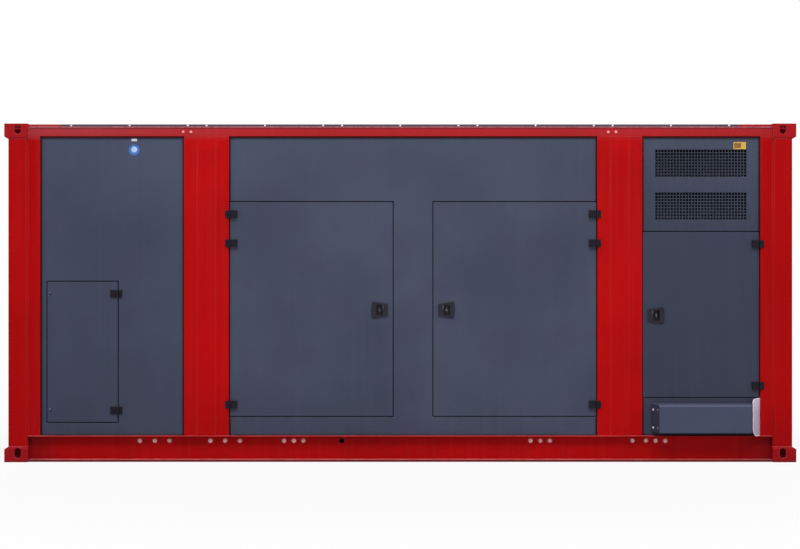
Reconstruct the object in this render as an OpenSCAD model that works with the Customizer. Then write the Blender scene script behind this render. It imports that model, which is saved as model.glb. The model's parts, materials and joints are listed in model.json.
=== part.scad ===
// Containerised generator set: a 20 ft steel frame with folded sheet walls,
// hinged service doors, mesh air grilles, removable roof panels and a cable hood.
// Axes: X along the length, Y across with the service side at -Y, Z up from the ground.
// Walls are drawn in elevation: x along the wall, y inwards from the casting face, z up.

/* [Envelope] */
// Length over the corner castings
length = 6058; // [5048:1:7270]
// Width over the corner castings
width = 2438; // [2032:1:2926]
// Height over the corner castings
height = 2591; // [2159:1:3109]

/* [Corner castings] */
// Length of a casting along the container
casting_l = 178; // [170:1:190]
// Width of a casting across the container
casting_w = 162; // [150:1:170]
// Height of a casting
casting_h = 118; // [110:1:130]
// Thickness of the plate with the twist-lock slot
casting_plate = 28.5; // [20:0.5:35]
// Thickness of the other casting walls
casting_wall = 16; // [10:1:20]
// Twist-lock slot: length over its round ends
slot_l = 124; // [120:0.5:128]
// Twist-lock slot: width
slot_w = 63.5; // [60:0.5:66]
// Distance from slot centre to slot centre along the container is the length less this
slot_inset_l = 205; // [200:1:210]
// Distance from slot centre to slot centre across the container is the width less this
slot_inset_w = 179; // [175:1:185]
// Side hole: width
side_hole_w = 51; // [45:1:60]
// End hole: width
end_hole_w = 63.5; // [50:0.5:66]
// Side and end holes: height over the round ends
face_hole_h = 79.5; // [70:0.5:85]
// Height of the side and end holes' centre from the slotted face
face_hole_z = 69; // [65:1:75]
// Top castings' side hole: distance of its flat edge from the slotted face
top_hole_drop = 14; // [10:1:30]
// Top castings' side hole: height
top_hole_h = 66; // [60:1:80]
// Height of the castings' bevels towards the posts
casting_bevel = 18; // [4:1:20]

/* [Frame] */
// Sheet thickness of the corner posts
post_t = 6; // [4:1:8]
// Corner post's flat face along the side
post_face = 147; // [120:1:147]
// Corner post's flat face across the end
post_depth = 134; // [110:1:150]
// How far the corner post reaches along the side, with its flange
post_reach = 265; // [250:1:320]
// How far the corner post reaches across the end, with its flange
post_end_reach = 230; // [210:1:300]
// Step back of the end frame from the castings' end faces
end_step = 24; // [10:1:40]
// Step back of posts and bottom rails from the casting face
post_inset = 6; // [4:1:10]
// Width of the slanted fold between a post's face and its side flange
post_fold = 14; // [8:1:20]
// Step back of bands, flanges and top rails from the casting face
band_inset = 28; // [24:1:34]
// Depth to which folded edges return
return_depth = 60; // [56:1:64]
// Height of the bottom rails' top face
rail_top = 200; // [180:1:230]
// Height of the bottom rails' underside
rail_bottom = 2; // [0:1:30]
// Depth of the bottom rail's flanges
rail_flange = 53; // [45:1:60]
// Plate thickness of the bottom rails
rail_t = 6; // [4:1:8]
// Thickness of the bottom rails' lower flange
rail_foot_t = 16; // [6:1:20]
// Height of the top rails
top_rail_h = 68; // [60:1:110]
// Depth of the top rail's flanges
top_rail_flange = 50; // [44:1:60]
// Plate thickness of the top rails
top_rail_t = 4; // [3:1:6]
// Drop of the top rails below the castings' top
top_rail_drop = 26; // [16:1:30]
// Number of cross members under the floor
cross_members_n = 11; // [6:1:14]
// Height of a cross member
cross_h = 140; // [100:5:150]
// Flange width of a cross member
cross_w = 50; // [40:1:70]
// Plate thickness of a cross member
cross_t = 5; // [4:1:8]
// Floor plate thickness
floor_t = 5; // [3:1:8]
// Diameter of the plugged holes in the bottom side rails
rail_hole_d = 38; // [20:1:50]
// Depth of the rail holes' centres below the rail's top face
rail_hole_drop = 42; // [30:1:60]

/* [Walls] */
// Sheet thickness of wall panels and doors
skin_t = 3; // [2:0.5:4]
// Step back of the grey panels from the casting face
panel_inset = 40; // [38:1:44]
// Thickness of the sound lining
lining_t = 50; // [40:1:50]
// Joint between lining slabs
lining_joint = 2; // [1:0.5:4]
// Width of the plain left bay
left_bay_w = 1105; // [1050:1:1200]
// Width of the right bay with the air grilles
right_bay_w = 908; // [840:1:960]
// Width of a folded band
band_w = 343; // [320:1:380]
// Sheet thickness of a band
band_t = 4; // [3:1:5]
// Width of the raised rib along the middle of a band
rib_w = 141; // [100:1:170]
// Height of the rib
rib_h = 6; // [4:1:12]
// Half the run of the rib's sloping sides
rib_slope = 5; // [3:0.5:10]
// Distance of the rib's upper end from the top rail
rib_drop = 100; // [60:1:140]
// Length of the rib's sloping upper end
rib_end_l = 60; // [20:1:80]
// Width of the post between the two large doors
centre_post_w = 297; // [240:1:360]
// Height of the panel over the large doors
header_h = 497; // [400:1:560]
// Height of the sill under the large doors
sill_h = 141; // [120:1:200]
// Height of the panel with the air grilles
louvre_h = 726; // [700:1:760]
// Height of the panel with the cable hood
lower_h = 285; // [280:1:320]

/* [Hatch] */
// Width of the hatch opening
hatch_w = 556; // [480:1:640]
// Height of the hatch opening
hatch_h = 1093; // [950:1:1180]
// Distance of the hatch opening from the left post's flange
hatch_x = 45; // [40:1:80]
// Height of the hatch opening's lower edge over the bottom rail
hatch_rise = 95; // [80:1:140]

/* [Doors] */
// Gap between a door and its opening
door_gap = 8; // [7:0.5:12]
// Depth of a door over its folded edges
door_depth = 40; // [34:1:42]
// Sheet thickness of the door frames
frame_t = 4; // [3:0.5:6]
// Reach of the door stop into the opening
stop_reach = 25; // [20:1:30]
// Gap for the seal between a door's folded edge and its stop
seal_gap = 9; // [5:0.5:15]
// Clearance between a door's lining and its folded edges
lining_clearance = 2; // [1:0.5:5]

/* [Hinges] */
// Height of a hinge
hinge_h = 57; // [50:1:90]
// Width of the hinge block on the door, from the pin
hinge_door_w = 60; // [40:1:70]
// Width of the hinge block on the frame, from the pin
hinge_frame_w = 30; // [25:1:38]
// Thickness of the hinge block
hinge_t = 8; // [6:1:10]
// Radius of a hinge knuckle
knuckle_r = 8; // [7:0.5:9]
// Radius of a hinge pin
pin_r = 4; // [3:0.5:4.5]
// Radial clearance round a hinge pin
pin_clearance = 0.4; // [0.3:0.1:0.6]
// Axial gap between two knuckles
knuckle_gap = 1; // [0.5:0.5:2]
// Distance of a hinge block's outer face behind the pin's axis
hinge_set = 4; // [3:0.5:5]
// Distance of a hinge block from the pin's axis
hinge_relief = 10.5; // [10:0.5:12]
// Top hinge: centre below the opening's upper edge
hinge_top_drop = 100; // [80:1:140]
// Middle hinge of the large doors: centre below the opening's upper edge
hinge_mid_drop = 324; // [280:1:400]
// Bottom hinge: centre above the opening's lower edge
hinge_low_rise = 98; // [70:1:120]

/* [Handles] */
// Width and height of a handle plate
handle_size = 128; // [120:1:150]
// Height of the handle plate's narrow side
handle_narrow = 96; // [92:1:110]
// Thickness of the handle plate
handle_t = 8; // [5:1:10]
// Corner radius of the handle plate
handle_corner = 10; // [5:1:15]
// Bulge of the handle plate's wide side
handle_bulge = 6; // [3:1:10]
// Distance of the handle's centre from the door's free edge
handle_reach = 101; // [90:1:120]
// Drop of the handle's centre below the door's mid height
handle_drop = 7; // [0:1:20]
// Width of the handle's pocket
pocket_w = 50; // [48:1:60]
// Height of the handle's pocket
pocket_h = 80; // [70:1:90]
// Depth of the pocket's floor behind the door's face
pocket_depth = 24; // [18:1:28]
// Sheet thickness of the pocket
pocket_t = 3; // [2:0.5:4]
// Length of the turning bar in the pocket
latch_bar_l = 38; // [30:1:38]
// Radius of the latch barrel
latch_r = 9; // [7:0.5:10]
// Radius of the latch stem
stem_r = 4; // [3:0.5:5]
// Width of the turning bar
latch_bar_w = 10; // [6:1:12]
// Thickness of the turning bar
latch_bar_t = 10; // [6:1:12]
// Distance of the turning bar behind the plate's face
latch_bar_set = 2; // [1:0.5:4]
// Reach of the latch stem behind the pocket
stem_reach = 9; // [5:1:12]
// Clearance of the latch from its pocket
latch_clearance = 0.3; // [0.2:0.1:0.5]
// Clearance of the pocket in the door's cut-out
pocket_clearance = 0.5; // [0.3:0.1:1]
// Depth of the cut-out behind the pocket
pocket_room = 14; // [12:1:20]

/* [Air grilles] */
// Distance of a grille's opening from the sides of its panel
grille_side = 101; // [85:1:130]
// Height of a grille's opening
grille_h = 212; // [180:1:220]
// Distance of the lower grille's opening from the panel's lower edge
grille_low_rise = 84; // [80:1:100]
// Distance of the upper grille's opening from the panel's upper edge
grille_top_drop = 101; // [90:1:105]
// Lap of the mesh behind the panel
grille_lap = 12; // [8:1:20]
// Thickness of the mesh
mesh_t = 2; // [1.5:0.5:3]
// Pitch of the square holes
mesh_pitch = 23.5; // [23:0.5:30]
// Size of the square holes
mesh_hole = 18; // [14:0.5:19]
// Least margin of the mesh holes inside the opening, both sides together
mesh_margin = 0.5; // [0.5:0.5:3]

/* [Roof] */
// Number of removable roof panels
roof_panels_n = 5; // [4:1:7]
// Length of the fixed roof header at each end
roof_header_l = 433; // [400:1:500]
// Joint between roof panels
roof_joint = 3; // [2:1:6]
// Sheet thickness of the roof
roof_t = 3; // [2:0.5:4]
// Clearance of the roof below the castings' top
roof_drop = 3; // [2:1:6]

/* [Cable hood] */
// Distance of the hood from the band
hood_left = 70; // [45:1:80]
// Distance of the hood from the right post's flange
hood_right = 62; // [50:1:70]
// Height of the hood
hood_h = 212; // [180:1:230]
// Height of the hood's lower edge over the bottom rail
hood_rise = 34; // [30:1:60]
// Depth of the hood
hood_depth = 120; // [80:1:150]
// Taper of the hood at each end
hood_taper = 38; // [20:1:60]
// Sheet thickness of hood and flap
hood_t = 3; // [2:0.5:4]
// Width of the bevel along the hood's upper front edge
hood_bevel = 12; // [6:1:20]
// Length of the end flap out from the wall
flap_l = 100; // [80:1:110]
// Angle of the end flap from the wall
flap_angle = 42; // [40:1:80]
// Radius of the flap's upper free corner
flap_top_corner = 28; // [15:1:60]
// Radius of the flap's lower free corner
flap_low_corner = 60; // [20:1:80]
// Width of the end flap's flange on the wall
flap_flange = 15; // [10:1:25]

/* [Hidden] */

$fn = 48;
eps = 1;
half_l = length / 2;
half_w = width / 2;

frame_red = "#A8141A";
panel_grey = "#454B5E";
lining_grey = "#2E3036";
fitting_black = "#1C1C20";
latch_dark = "#3A3A3E";
flap_pale = "#B0A6B8";

// Heights of the wall zone
wall_bottom = rail_top;
top_rail_top = height - top_rail_drop;
wall_top = top_rail_top - top_rail_h;

// Positions along the side wall
bay_x0 = -half_l + post_reach;
band1_x0 = bay_x0 + left_bay_w;
centre_x0 = band1_x0 + band_w;
right_x1 = half_l - post_reach;
right_x0 = right_x1 - right_bay_w;
band2_x0 = right_x0 - band_w;
centre_mid = (centre_x0 + band2_x0) / 2;
post_x0 = centre_mid - centre_post_w / 2;
post_x1 = centre_mid + centre_post_w / 2;

// Door openings as [x0, x1, z0, z1]
door_top = wall_top - header_h;
door_bottom = wall_bottom + sill_h;
louvre_bottom = wall_top - louvre_h;
hatch_opening = [
  bay_x0 + hatch_x, bay_x0 + hatch_x + hatch_w,
  wall_bottom + hatch_rise, wall_bottom + hatch_rise + hatch_h
];
left_opening = [centre_x0, post_x0, door_bottom, door_top];
right_opening = [post_x1, band2_x0, door_bottom, door_top];
service_opening = [right_x0, right_x1, wall_bottom + lower_h, louvre_bottom];
openings = [hatch_opening, left_opening, right_opening, service_opening];

// Depths inwards from the casting face
door_back = panel_inset + door_depth;
lining_y0 = panel_inset + skin_t;
lining_y1 = lining_y0 + lining_t;
stop_y = door_back + seal_gap;
frame_y1 = max(lining_y1, stop_y + frame_t);
// Pin axes lie in front of the grey panels
hinge_axis_y = band_inset - hinge_t - hinge_set;
hatch_axis_y = panel_inset - hinge_t - hinge_set;

latch_y = panel_inset - handle_t;
end_wall_half = half_w - post_end_reach;
louvre_mid = (right_x0 + right_x1) / 2;
grille_w = right_bay_w - 2 * grille_side;
mesh_columns = floor((grille_w - mesh_margin) / mesh_pitch);
mesh_rows = floor((grille_h - mesh_margin) / mesh_pitch);
lower_grille_z = louvre_bottom + grille_low_rise;
upper_grille_z = wall_top - grille_top_drop - grille_h;

// Places of walls
module front_wall() {
  translate([0, -half_w, 0]) children();
}

module back_wall() {
  mirror([0, 1, 0]) front_wall() children();
}

module both_walls() {
  front_wall() children();
  back_wall() children();
}

module left_wall() {
  translate([-half_l + end_step, 0, 0]) rotate([0, 0, -90]) children();
}

module right_wall() {
  mirror([1, 0, 0]) left_wall() children();
}

module four_corners() {
  for (x_side = [0, 1], y_side = [0, 1])
    mirror([x_side, 0, 0]) mirror([0, y_side, 0]) translate([-half_l, -half_w, 0]) children();
}

module block(x0, x1, y0, y1, z0, z1) {
  translate([x0, y0, z0]) cube([x1 - x0, y1 - y0, z1 - z0]);
}

// A shape drawn in depth and height, run along the wall from x0 to x1
module run_along(x0, x1) {
  translate([x0, 0, 0]) rotate([90, 0, 90]) linear_extrude(x1 - x0) children();
}

// Corner casting, in its own corner: u along the length, v across, slotted face at z = 0
module stadium(long, short) {
  offset_c = (long - short) / 2;
  square([2 * offset_c, short], center = true);
  for (end = [-1, 1]) translate([end * offset_c, 0]) circle(d = short);
}

// The casting's block, bevelled towards the post on its end and side faces
module casting_block() {
  intersection() {
    translate([0, casting_w, 0]) rotate([90, 0, 0]) linear_extrude(casting_w) polygon([
      [0, 0], [casting_l, 0], [casting_l, casting_h],
      [end_step + post_inset, casting_h], [0, casting_h - casting_bevel]
    ]);
    run_along(0, casting_l) polygon([
      [0, 0], [casting_w, 0], [casting_w, casting_h],
      [post_inset, casting_h], [0, casting_h - casting_bevel]
    ]);
  }
}

module round_side_hole() {
  translate([0, face_hole_z]) rotate(90) stadium(face_hole_h, side_hole_w);
}

// Flat towards the slotted face and round towards the post
module flat_side_hole() {
  round_z = top_hole_drop + top_hole_h - side_hole_w / 2;
  translate([-side_hole_w / 2, top_hole_drop]) square([side_hole_w, round_z - top_hole_drop]);
  translate([0, round_z]) circle(d = side_hole_w);
}

module casting(flat_hole) {
  difference() {
    casting_block();
    translate([casting_wall, casting_wall, casting_plate])
      cube([casting_l - 2 * casting_wall, casting_w - 2 * casting_wall,
            casting_h - casting_plate - casting_wall]);
    translate([slot_inset_l / 2, slot_inset_w / 2, -eps])
      linear_extrude(casting_plate + 2 * eps) stadium(slot_l, slot_w);
    translate([slot_inset_l / 2, casting_wall + eps, 0])
      rotate([90, 0, 0]) linear_extrude(casting_wall + 2 * eps)
        if (flat_hole) flat_side_hole(); else round_side_hole();
    translate([-eps, slot_inset_w / 2, face_hole_z])
      rotate([90, 0, 90]) linear_extrude(casting_wall + 2 * eps)
        rotate(90) stadium(face_hole_h, end_hole_w);
  }
}

module bottom_castings() {
  color(frame_red) four_corners() casting(false);
}

module top_castings() {
  color(frame_red) four_corners() translate([0, 0, height]) mirror([0, 0, 1]) casting(true);
}

// Corner posts: a folded column with a flange to each wall
module post_column() {
  u0 = end_step + post_inset;
  u1 = u0 + post_face;
  v0 = post_inset;
  v1 = v0 + post_depth;
  side_v = band_inset + post_t;
  end_u = end_step + band_inset + post_t;
  polygon([
    [u1, side_v], [u1, band_inset], [u1 - post_fold, v0], [u0, v0], [u0, v1], [end_u, v1],
    [end_u, v1 - post_t], [u0 + post_t, v1 - post_t], [u0 + post_t, v0 + post_t],
    [u1 - post_fold - post_t / 2, v0 + post_t], [u1 - post_t, band_inset + post_t / 2],
    [u1 - post_t, side_v]
  ]);
}

module post_side_flange() {
  u0 = end_step + post_inset + post_face - post_t;
  polygon([
    [u0, band_inset], [post_reach, band_inset], [post_reach, return_depth],
    [post_reach - post_t, return_depth], [post_reach - post_t, band_inset + post_t],
    [u0, band_inset + post_t]
  ]);
}

module post_end_flange() {
  u0 = end_step + band_inset;
  v0 = post_inset + post_depth - post_t;
  u1 = end_step + return_depth;
  polygon([
    [u0, v0], [u0 + post_t, v0], [u0 + post_t, post_end_reach - post_t],
    [u1, post_end_reach - post_t], [u1, post_end_reach], [u0, post_end_reach]
  ]);
}

module corner_posts() {
  color(frame_red) four_corners() {
    translate([0, 0, casting_h]) linear_extrude(height - 2 * casting_h) post_column();
    difference() {
      translate([0, 0, wall_bottom]) linear_extrude(wall_top - wall_bottom) {
        post_side_flange();
        post_end_flange();
      }
      translate([0, 0, height - casting_h]) cube([casting_l, casting_w, casting_h]);
    }
  }
}

// Bottom rails: channels that face outwards
module bottom_rail_section() {
  y0 = post_inset;
  y1 = post_inset + rail_flange;
  polygon([
    [y0, rail_top], [y1, rail_top], [y1, rail_bottom], [y0, rail_bottom],
    [y0, rail_bottom + rail_foot_t], [y1 - rail_t, rail_bottom + rail_foot_t],
    [y1 - rail_t, rail_top - rail_t], [y0, rail_top - rail_t]
  ]);
}

// Centres of the rail's holes: groups of three, and two single holes
rail_hole_groups = [[-1888, 114, 3], [-1347, 114, 3], [-819, 74, 3], [-450, 0, 1],
                    [1076, 74, 3], [1785, 0, 1], [1965, 74, 3]];

module rail_holes() {
  for (group = rail_hole_groups, i = [0 : group[2] - 1])
    translate([group[0] + (i - (group[2] - 1) / 2) * group[1], 0, rail_top - rail_hole_drop])
      rotate([-90, 0, 0]) cylinder(d = rail_hole_d, h = post_inset + rail_flange + eps);
}

module bottom_side_rails() {
  color(frame_red) both_walls() difference() {
    run_along(-half_l + casting_l, half_l - casting_l) bottom_rail_section();
    rail_holes();
  }
}

module bottom_end_rails() {
  color(frame_red) for (side = [0, 1]) mirror([side, 0, 0])
    left_wall() run_along(-half_w + casting_w, half_w - casting_w) bottom_rail_section();
}

// Top rails: channels that face inwards
module top_rail_section() {
  y0 = band_inset;
  y1 = band_inset + top_rail_flange;
  polygon([
    [y0, wall_top], [y1, wall_top], [y1, wall_top + top_rail_t],
    [y0 + top_rail_t, wall_top + top_rail_t], [y0 + top_rail_t, top_rail_top - top_rail_t],
    [y1, top_rail_top - top_rail_t], [y1, top_rail_top], [y0, top_rail_top]
  ]);
}

module top_side_rails() {
  color(frame_red) both_walls()
    run_along(-half_l + casting_l, half_l - casting_l) top_rail_section();
}

module top_end_rails() {
  color(frame_red) for (side = [0, 1]) mirror([side, 0, 0])
    left_wall() run_along(-half_w + casting_w, half_w - casting_w) top_rail_section();
}

// Floor
module cross_section() {
  polygon([
    [0, 0], [cross_w, 0], [cross_w, cross_t], [cross_t, cross_t],
    [cross_t, cross_h - cross_t], [cross_w, cross_h - cross_t], [cross_w, cross_h], [0, cross_h]
  ]);
}

module cross_members() {
  span = width - 2 * (post_inset + rail_flange);
  first = -half_l + end_step + post_inset + rail_flange;
  pitch = 2 * -first / (cross_members_n + 1);
  color(frame_red) for (i = [1 : cross_members_n])
    translate([first + i * pitch - cross_w / 2, span / 2, rail_top - floor_t - cross_h])
      rotate([90, 0, 0]) linear_extrude(span) cross_section();
}

module floor_plate() {
  x1 = half_l - end_step - post_inset - rail_flange;
  y1 = half_w - post_inset - rail_flange;
  color(panel_grey) difference() {
    block(-x1, x1, -y1, y1, rail_top - floor_t, rail_top);
    four_corners() translate([0, 0, rail_top - floor_t - eps])
      cube([casting_l, casting_w, floor_t + 2 * eps]);
  }
}

// Roof
roof_top = height - roof_drop;

module roof_section() {
  polygon([
    [-half_w + band_inset, top_rail_top], [-half_w + band_inset, roof_top],
    [half_w - band_inset, roof_top], [half_w - band_inset, top_rail_top],
    [half_w - band_inset - roof_t, top_rail_top], [half_w - band_inset - roof_t, roof_top - roof_t],
    [-half_w + band_inset + roof_t, roof_top - roof_t], [-half_w + band_inset + roof_t, top_rail_top]
  ]);
}

module roof_headers() {
  u0 = end_step + band_inset;
  v1 = half_w - casting_w;
  color(frame_red) for (side = [0, 1]) mirror([side, 0, 0]) {
    run_along(-half_l + casting_l, -half_l + roof_header_l - roof_joint) roof_section();
    block(-half_l + u0, -half_l + casting_l, -v1, v1, roof_top - roof_t, roof_top);
    block(-half_l + u0, -half_l + u0 + roof_t, -v1, v1, top_rail_top, roof_top);
  }
}

roof_pitch = (length - 2 * roof_header_l) / roof_panels_n;

module roof_panels() {
  color(panel_grey) for (i = [0 : roof_panels_n - 1])
    run_along(-half_l + roof_header_l + i * roof_pitch,
              -half_l + roof_header_l + (i + 1) * roof_pitch - roof_joint) roof_section();
}

module roof_lining() {
  y1 = half_w - band_inset - top_rail_flange - lining_joint;
  color(lining_grey) for (i = [0 : roof_panels_n - 1])
    block(-half_l + roof_header_l + i * roof_pitch + lining_joint,
          -half_l + roof_header_l + (i + 1) * roof_pitch - roof_joint - lining_joint,
          -y1, y1, roof_top - roof_t - lining_t, roof_top - roof_t);
}

// Wall panels
module skin(x0, x1, z0, z1) {
  block(x0, x1, panel_inset, panel_inset + skin_t, z0, z1);
}

module fold(x0, x1, z0, z1) {
  block(x0, x1, panel_inset, return_depth, z0, z1);
}

// A ring round an opening, o, as [x0, x1, z0, z1], between two depths
module ring(o, outside, inside, y0, y1) {
  difference() {
    block(o[0] - outside, o[1] + outside, y0, y1, o[2] - outside, o[3] + outside);
    block(o[0] + inside, o[1] - inside, y0 - eps, y1 + eps, o[2] + inside, o[3] - inside);
  }
}

module left_bay_panels() {
  color(panel_grey) both_walls() {
    difference() {
      skin(bay_x0, band1_x0, wall_bottom, wall_top);
      translate([0, panel_inset - eps, 0])
        block(hatch_opening[0], hatch_opening[1], 0, skin_t + 2 * eps,
              hatch_opening[2], hatch_opening[3]);
    }
    ring(hatch_opening, skin_t, 0, panel_inset, return_depth);
  }
}

rib_x0 = (band_w - rib_w) / 2;
rib_x1 = (band_w + rib_w) / 2;
band_y1 = band_inset + band_t;
rib_y0 = band_inset - rib_h;
rib_length = wall_top - wall_bottom - rib_drop;

module plain_band_section() {
  polygon([
    [0, return_depth], [0, band_inset], [band_w, band_inset], [band_w, return_depth],
    [band_w - band_t, return_depth], [band_w - band_t, band_y1],
    [band_t, band_y1], [band_t, return_depth]
  ]);
}

module ribbed_band_section() {
  inner = band_t / 2;
  polygon([
    [0, return_depth], [0, band_inset],
    [rib_x0 - rib_slope, band_inset], [rib_x0 + rib_slope, rib_y0],
    [rib_x1 - rib_slope, rib_y0], [rib_x1 + rib_slope, band_inset],
    [band_w, band_inset], [band_w, return_depth],
    [band_w - band_t, return_depth], [band_w - band_t, band_y1],
    [rib_x1 + rib_slope - inner, band_y1], [rib_x1 - rib_slope - inner, band_y1 - rib_h],
    [rib_x0 + rib_slope + inner, band_y1 - rib_h], [rib_x0 - rib_slope + inner, band_y1],
    [band_t, band_y1], [band_t, return_depth]
  ]);
}

// Upper end of the rib, sloping back to the band
module rib_end() {
  difference() {
    linear_extrude(rib_end_l) polygon([
      [rib_x0 - rib_slope, band_y1], [rib_x0 - rib_slope, band_inset],
      [rib_x0 + rib_slope, rib_y0], [rib_x1 - rib_slope, rib_y0],
      [rib_x1 + rib_slope, band_inset], [rib_x1 + rib_slope, band_y1]
    ]);
    run_along(0, band_w) polygon([
      [rib_y0 - eps, 0], [rib_y0, 0], [band_inset, rib_end_l],
      [band_inset, rib_end_l + eps], [rib_y0 - eps, rib_end_l + eps]
    ]);
  }
}

module band(x0) {
  translate([x0, 0, wall_bottom]) {
    linear_extrude(rib_length) ribbed_band_section();
    translate([0, 0, rib_length]) linear_extrude(rib_drop) plain_band_section();
    translate([0, 0, rib_length - eps]) rib_end();
  }
}

module left_bands() {
  color(frame_red) both_walls() band(band1_x0);
}

module right_bands() {
  color(frame_red) both_walls() band(band2_x0);
}

module door_headers() {
  color(panel_grey) both_walls() {
    skin(centre_x0, band2_x0, door_top, wall_top);
    fold(centre_x0, band2_x0, door_top, door_top + skin_t);
  }
}

module centre_posts() {
  color(panel_grey) both_walls() {
    skin(post_x0, post_x1, door_bottom, door_top);
    fold(post_x0, post_x0 + skin_t, door_bottom, door_top);
    fold(post_x1 - skin_t, post_x1, door_bottom, door_top);
  }
}

module door_sills() {
  color(panel_grey) both_walls() {
    skin(centre_x0, band2_x0, wall_bottom, door_bottom);
    fold(centre_x0, band2_x0, door_bottom - skin_t, door_bottom);
  }
}

module grille_cuts(mid) {
  for (z = [lower_grille_z, upper_grille_z])
    block(mid - grille_w / 2, mid + grille_w / 2, 0, return_depth, z, z + grille_h);
}

module louvre_panels() {
  color(panel_grey) both_walls() {
    difference() {
      skin(right_x0, right_x1, louvre_bottom, wall_top);
      grille_cuts(louvre_mid);
    }
    fold(right_x0, right_x1, louvre_bottom, louvre_bottom + skin_t);
  }
}

module lower_panels() {
  color(panel_grey) both_walls() {
    skin(right_x0, right_x1, wall_bottom, wall_bottom + lower_h);
    fold(right_x0, right_x1, wall_bottom + lower_h - skin_t, wall_bottom + lower_h);
  }
}

module end_walls() {
  color(panel_grey) for (side = [0, 1]) mirror([side, 0, 0]) left_wall() difference() {
    skin(-end_wall_half, end_wall_half, wall_bottom, wall_top);
    grille_cuts(0);
  }
}

// A mesh sheet behind its opening
module mesh(mid, z) {
  sheet_w = grille_w + 2 * grille_lap;
  sheet_h = grille_h + 2 * grille_lap;
  margin_x = (sheet_w - mesh_columns * mesh_pitch + mesh_pitch - mesh_hole) / 2;
  margin_z = (sheet_h - mesh_rows * mesh_pitch + mesh_pitch - mesh_hole) / 2;
  translate([mid - sheet_w / 2, panel_inset + skin_t + mesh_t, z - grille_lap])
    rotate([90, 0, 0]) linear_extrude(mesh_t) difference() {
      square([sheet_w, sheet_h]);
      for (i = [0 : mesh_columns - 1], j = [0 : mesh_rows - 1])
        translate([margin_x + i * mesh_pitch, margin_z + j * mesh_pitch]) square(mesh_hole);
    }
}

module upper_grilles() {
  color(panel_grey) both_walls() mesh(louvre_mid, upper_grille_z);
}

module lower_grilles() {
  color(panel_grey) both_walls() mesh(louvre_mid, lower_grille_z);
}

module end_grilles() {
  for (z = [lower_grille_z, upper_grille_z]) mesh(0, z);
}

module left_end_grilles() {
  color(panel_grey) left_wall() end_grilles();
}

module right_end_grilles() {
  color(panel_grey) right_wall() end_grilles();
}

// Sloping plates behind the meshes, nearest to the mesh at their lower edge
module baffle_section(z) {
  y0 = panel_inset + skin_t + mesh_t;
  y1 = lining_y1 - skin_t;
  polygon([
    [y0, z - grille_lap], [y0 + skin_t, z - grille_lap],
    [y1 + skin_t, z + grille_h + grille_lap], [y1, z + grille_h + grille_lap]
  ]);
}

module baffles(mid) {
  x0 = mid - grille_w / 2 - grille_lap;
  x1 = mid + grille_w / 2 + grille_lap;
  for (z = [lower_grille_z, upper_grille_z]) run_along(x0, x1) baffle_section(z);
}

module grille_baffles() {
  color(lining_grey) {
    both_walls() baffles(louvre_mid);
    left_wall() baffles(0);
    right_wall() baffles(0);
  }
}

// Door frames: a return behind the wall panels and a stop for the door
module door_frames() {
  color(panel_grey) both_walls() for (o = openings) {
    ring(o, frame_t, 0, return_depth, frame_y1);
    ring(o, frame_t, stop_reach, stop_y, frame_y1);
  }
}

// Lining slabs between the openings
module slab(x0, x1, z0, z1, y0 = lining_y0) {
  block(x0 + lining_joint, x1 - lining_joint, y0, lining_y1, z0 + lining_joint, z1 - lining_joint);
}

module band_slab(x0) {
  slab(x0 + band_t, x0 + band_w - band_t, wall_bottom, wall_top, band_inset + band_t);
}

module side_lining() {
  h = hatch_opening;
  rim = frame_t;
  slab(bay_x0, h[0] - rim, h[2], h[3]);
  slab(bay_x0, band1_x0, wall_bottom, h[2] - rim);
  slab(bay_x0, band1_x0, h[3] + rim, wall_top);
  slab(h[1] + rim, band1_x0, h[2], h[3]);
  band_slab(band1_x0);
  slab(centre_x0, band2_x0, door_top + rim, wall_top);
  slab(post_x0 + rim, post_x1 - rim, door_bottom, door_top);
  slab(centre_x0, band2_x0, wall_bottom, door_bottom - rim);
  band_slab(band2_x0);
  slab(right_x0, right_x1, wall_bottom, wall_bottom + lower_h - rim);
}

module end_lining() {
  slab(-end_wall_half, end_wall_half, wall_bottom, lower_grille_z - grille_lap);
}

module wall_lining() {
  color(lining_grey) {
    both_walls() side_lining();
    left_wall() end_lining();
    right_wall() end_lining();
  }
}

// Doors: folded pans
function pivot_x(o, right) = right ? o[1] - door_gap / 2 : o[0] + door_gap / 2;
function handle_x(o, right) = right ? o[0] + door_gap + handle_reach : o[1] - door_gap - handle_reach;
function handle_z(o) = (o[2] + o[3]) / 2 - handle_drop;

module pan(o) {
  g = door_gap;
  difference() {
    block(o[0] + g, o[1] - g, panel_inset, door_back, o[2] + g, o[3] - g);
    block(o[0] + g + skin_t, o[1] - g - skin_t, panel_inset + skin_t, door_back + eps,
          o[2] + g + skin_t, o[3] - g - skin_t);
  }
}

module pocket_cut(x, z) {
  w = pocket_w / 2 + pocket_t + pocket_clearance;
  h = pocket_h / 2 + pocket_t + pocket_clearance;
  block(x - w, x + w, panel_inset - eps, panel_inset + pocket_depth + pocket_t + pocket_room,
        z - h, z + h);
}

module door_leaf(o, right) {
  difference() {
    pan(o);
    pocket_cut(handle_x(o, right), handle_z(o));
  }
}

module leaf_lining(o) {
  e = door_gap + skin_t + lining_clearance;
  block(o[0] + e, o[1] - e, panel_inset + skin_t, door_back - lining_clearance,
        o[2] + e, o[3] - e);
}

module door_lining(o, right) {
  difference() {
    leaf_lining(o);
    pocket_cut(handle_x(o, right), handle_z(o));
  }
}

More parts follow.
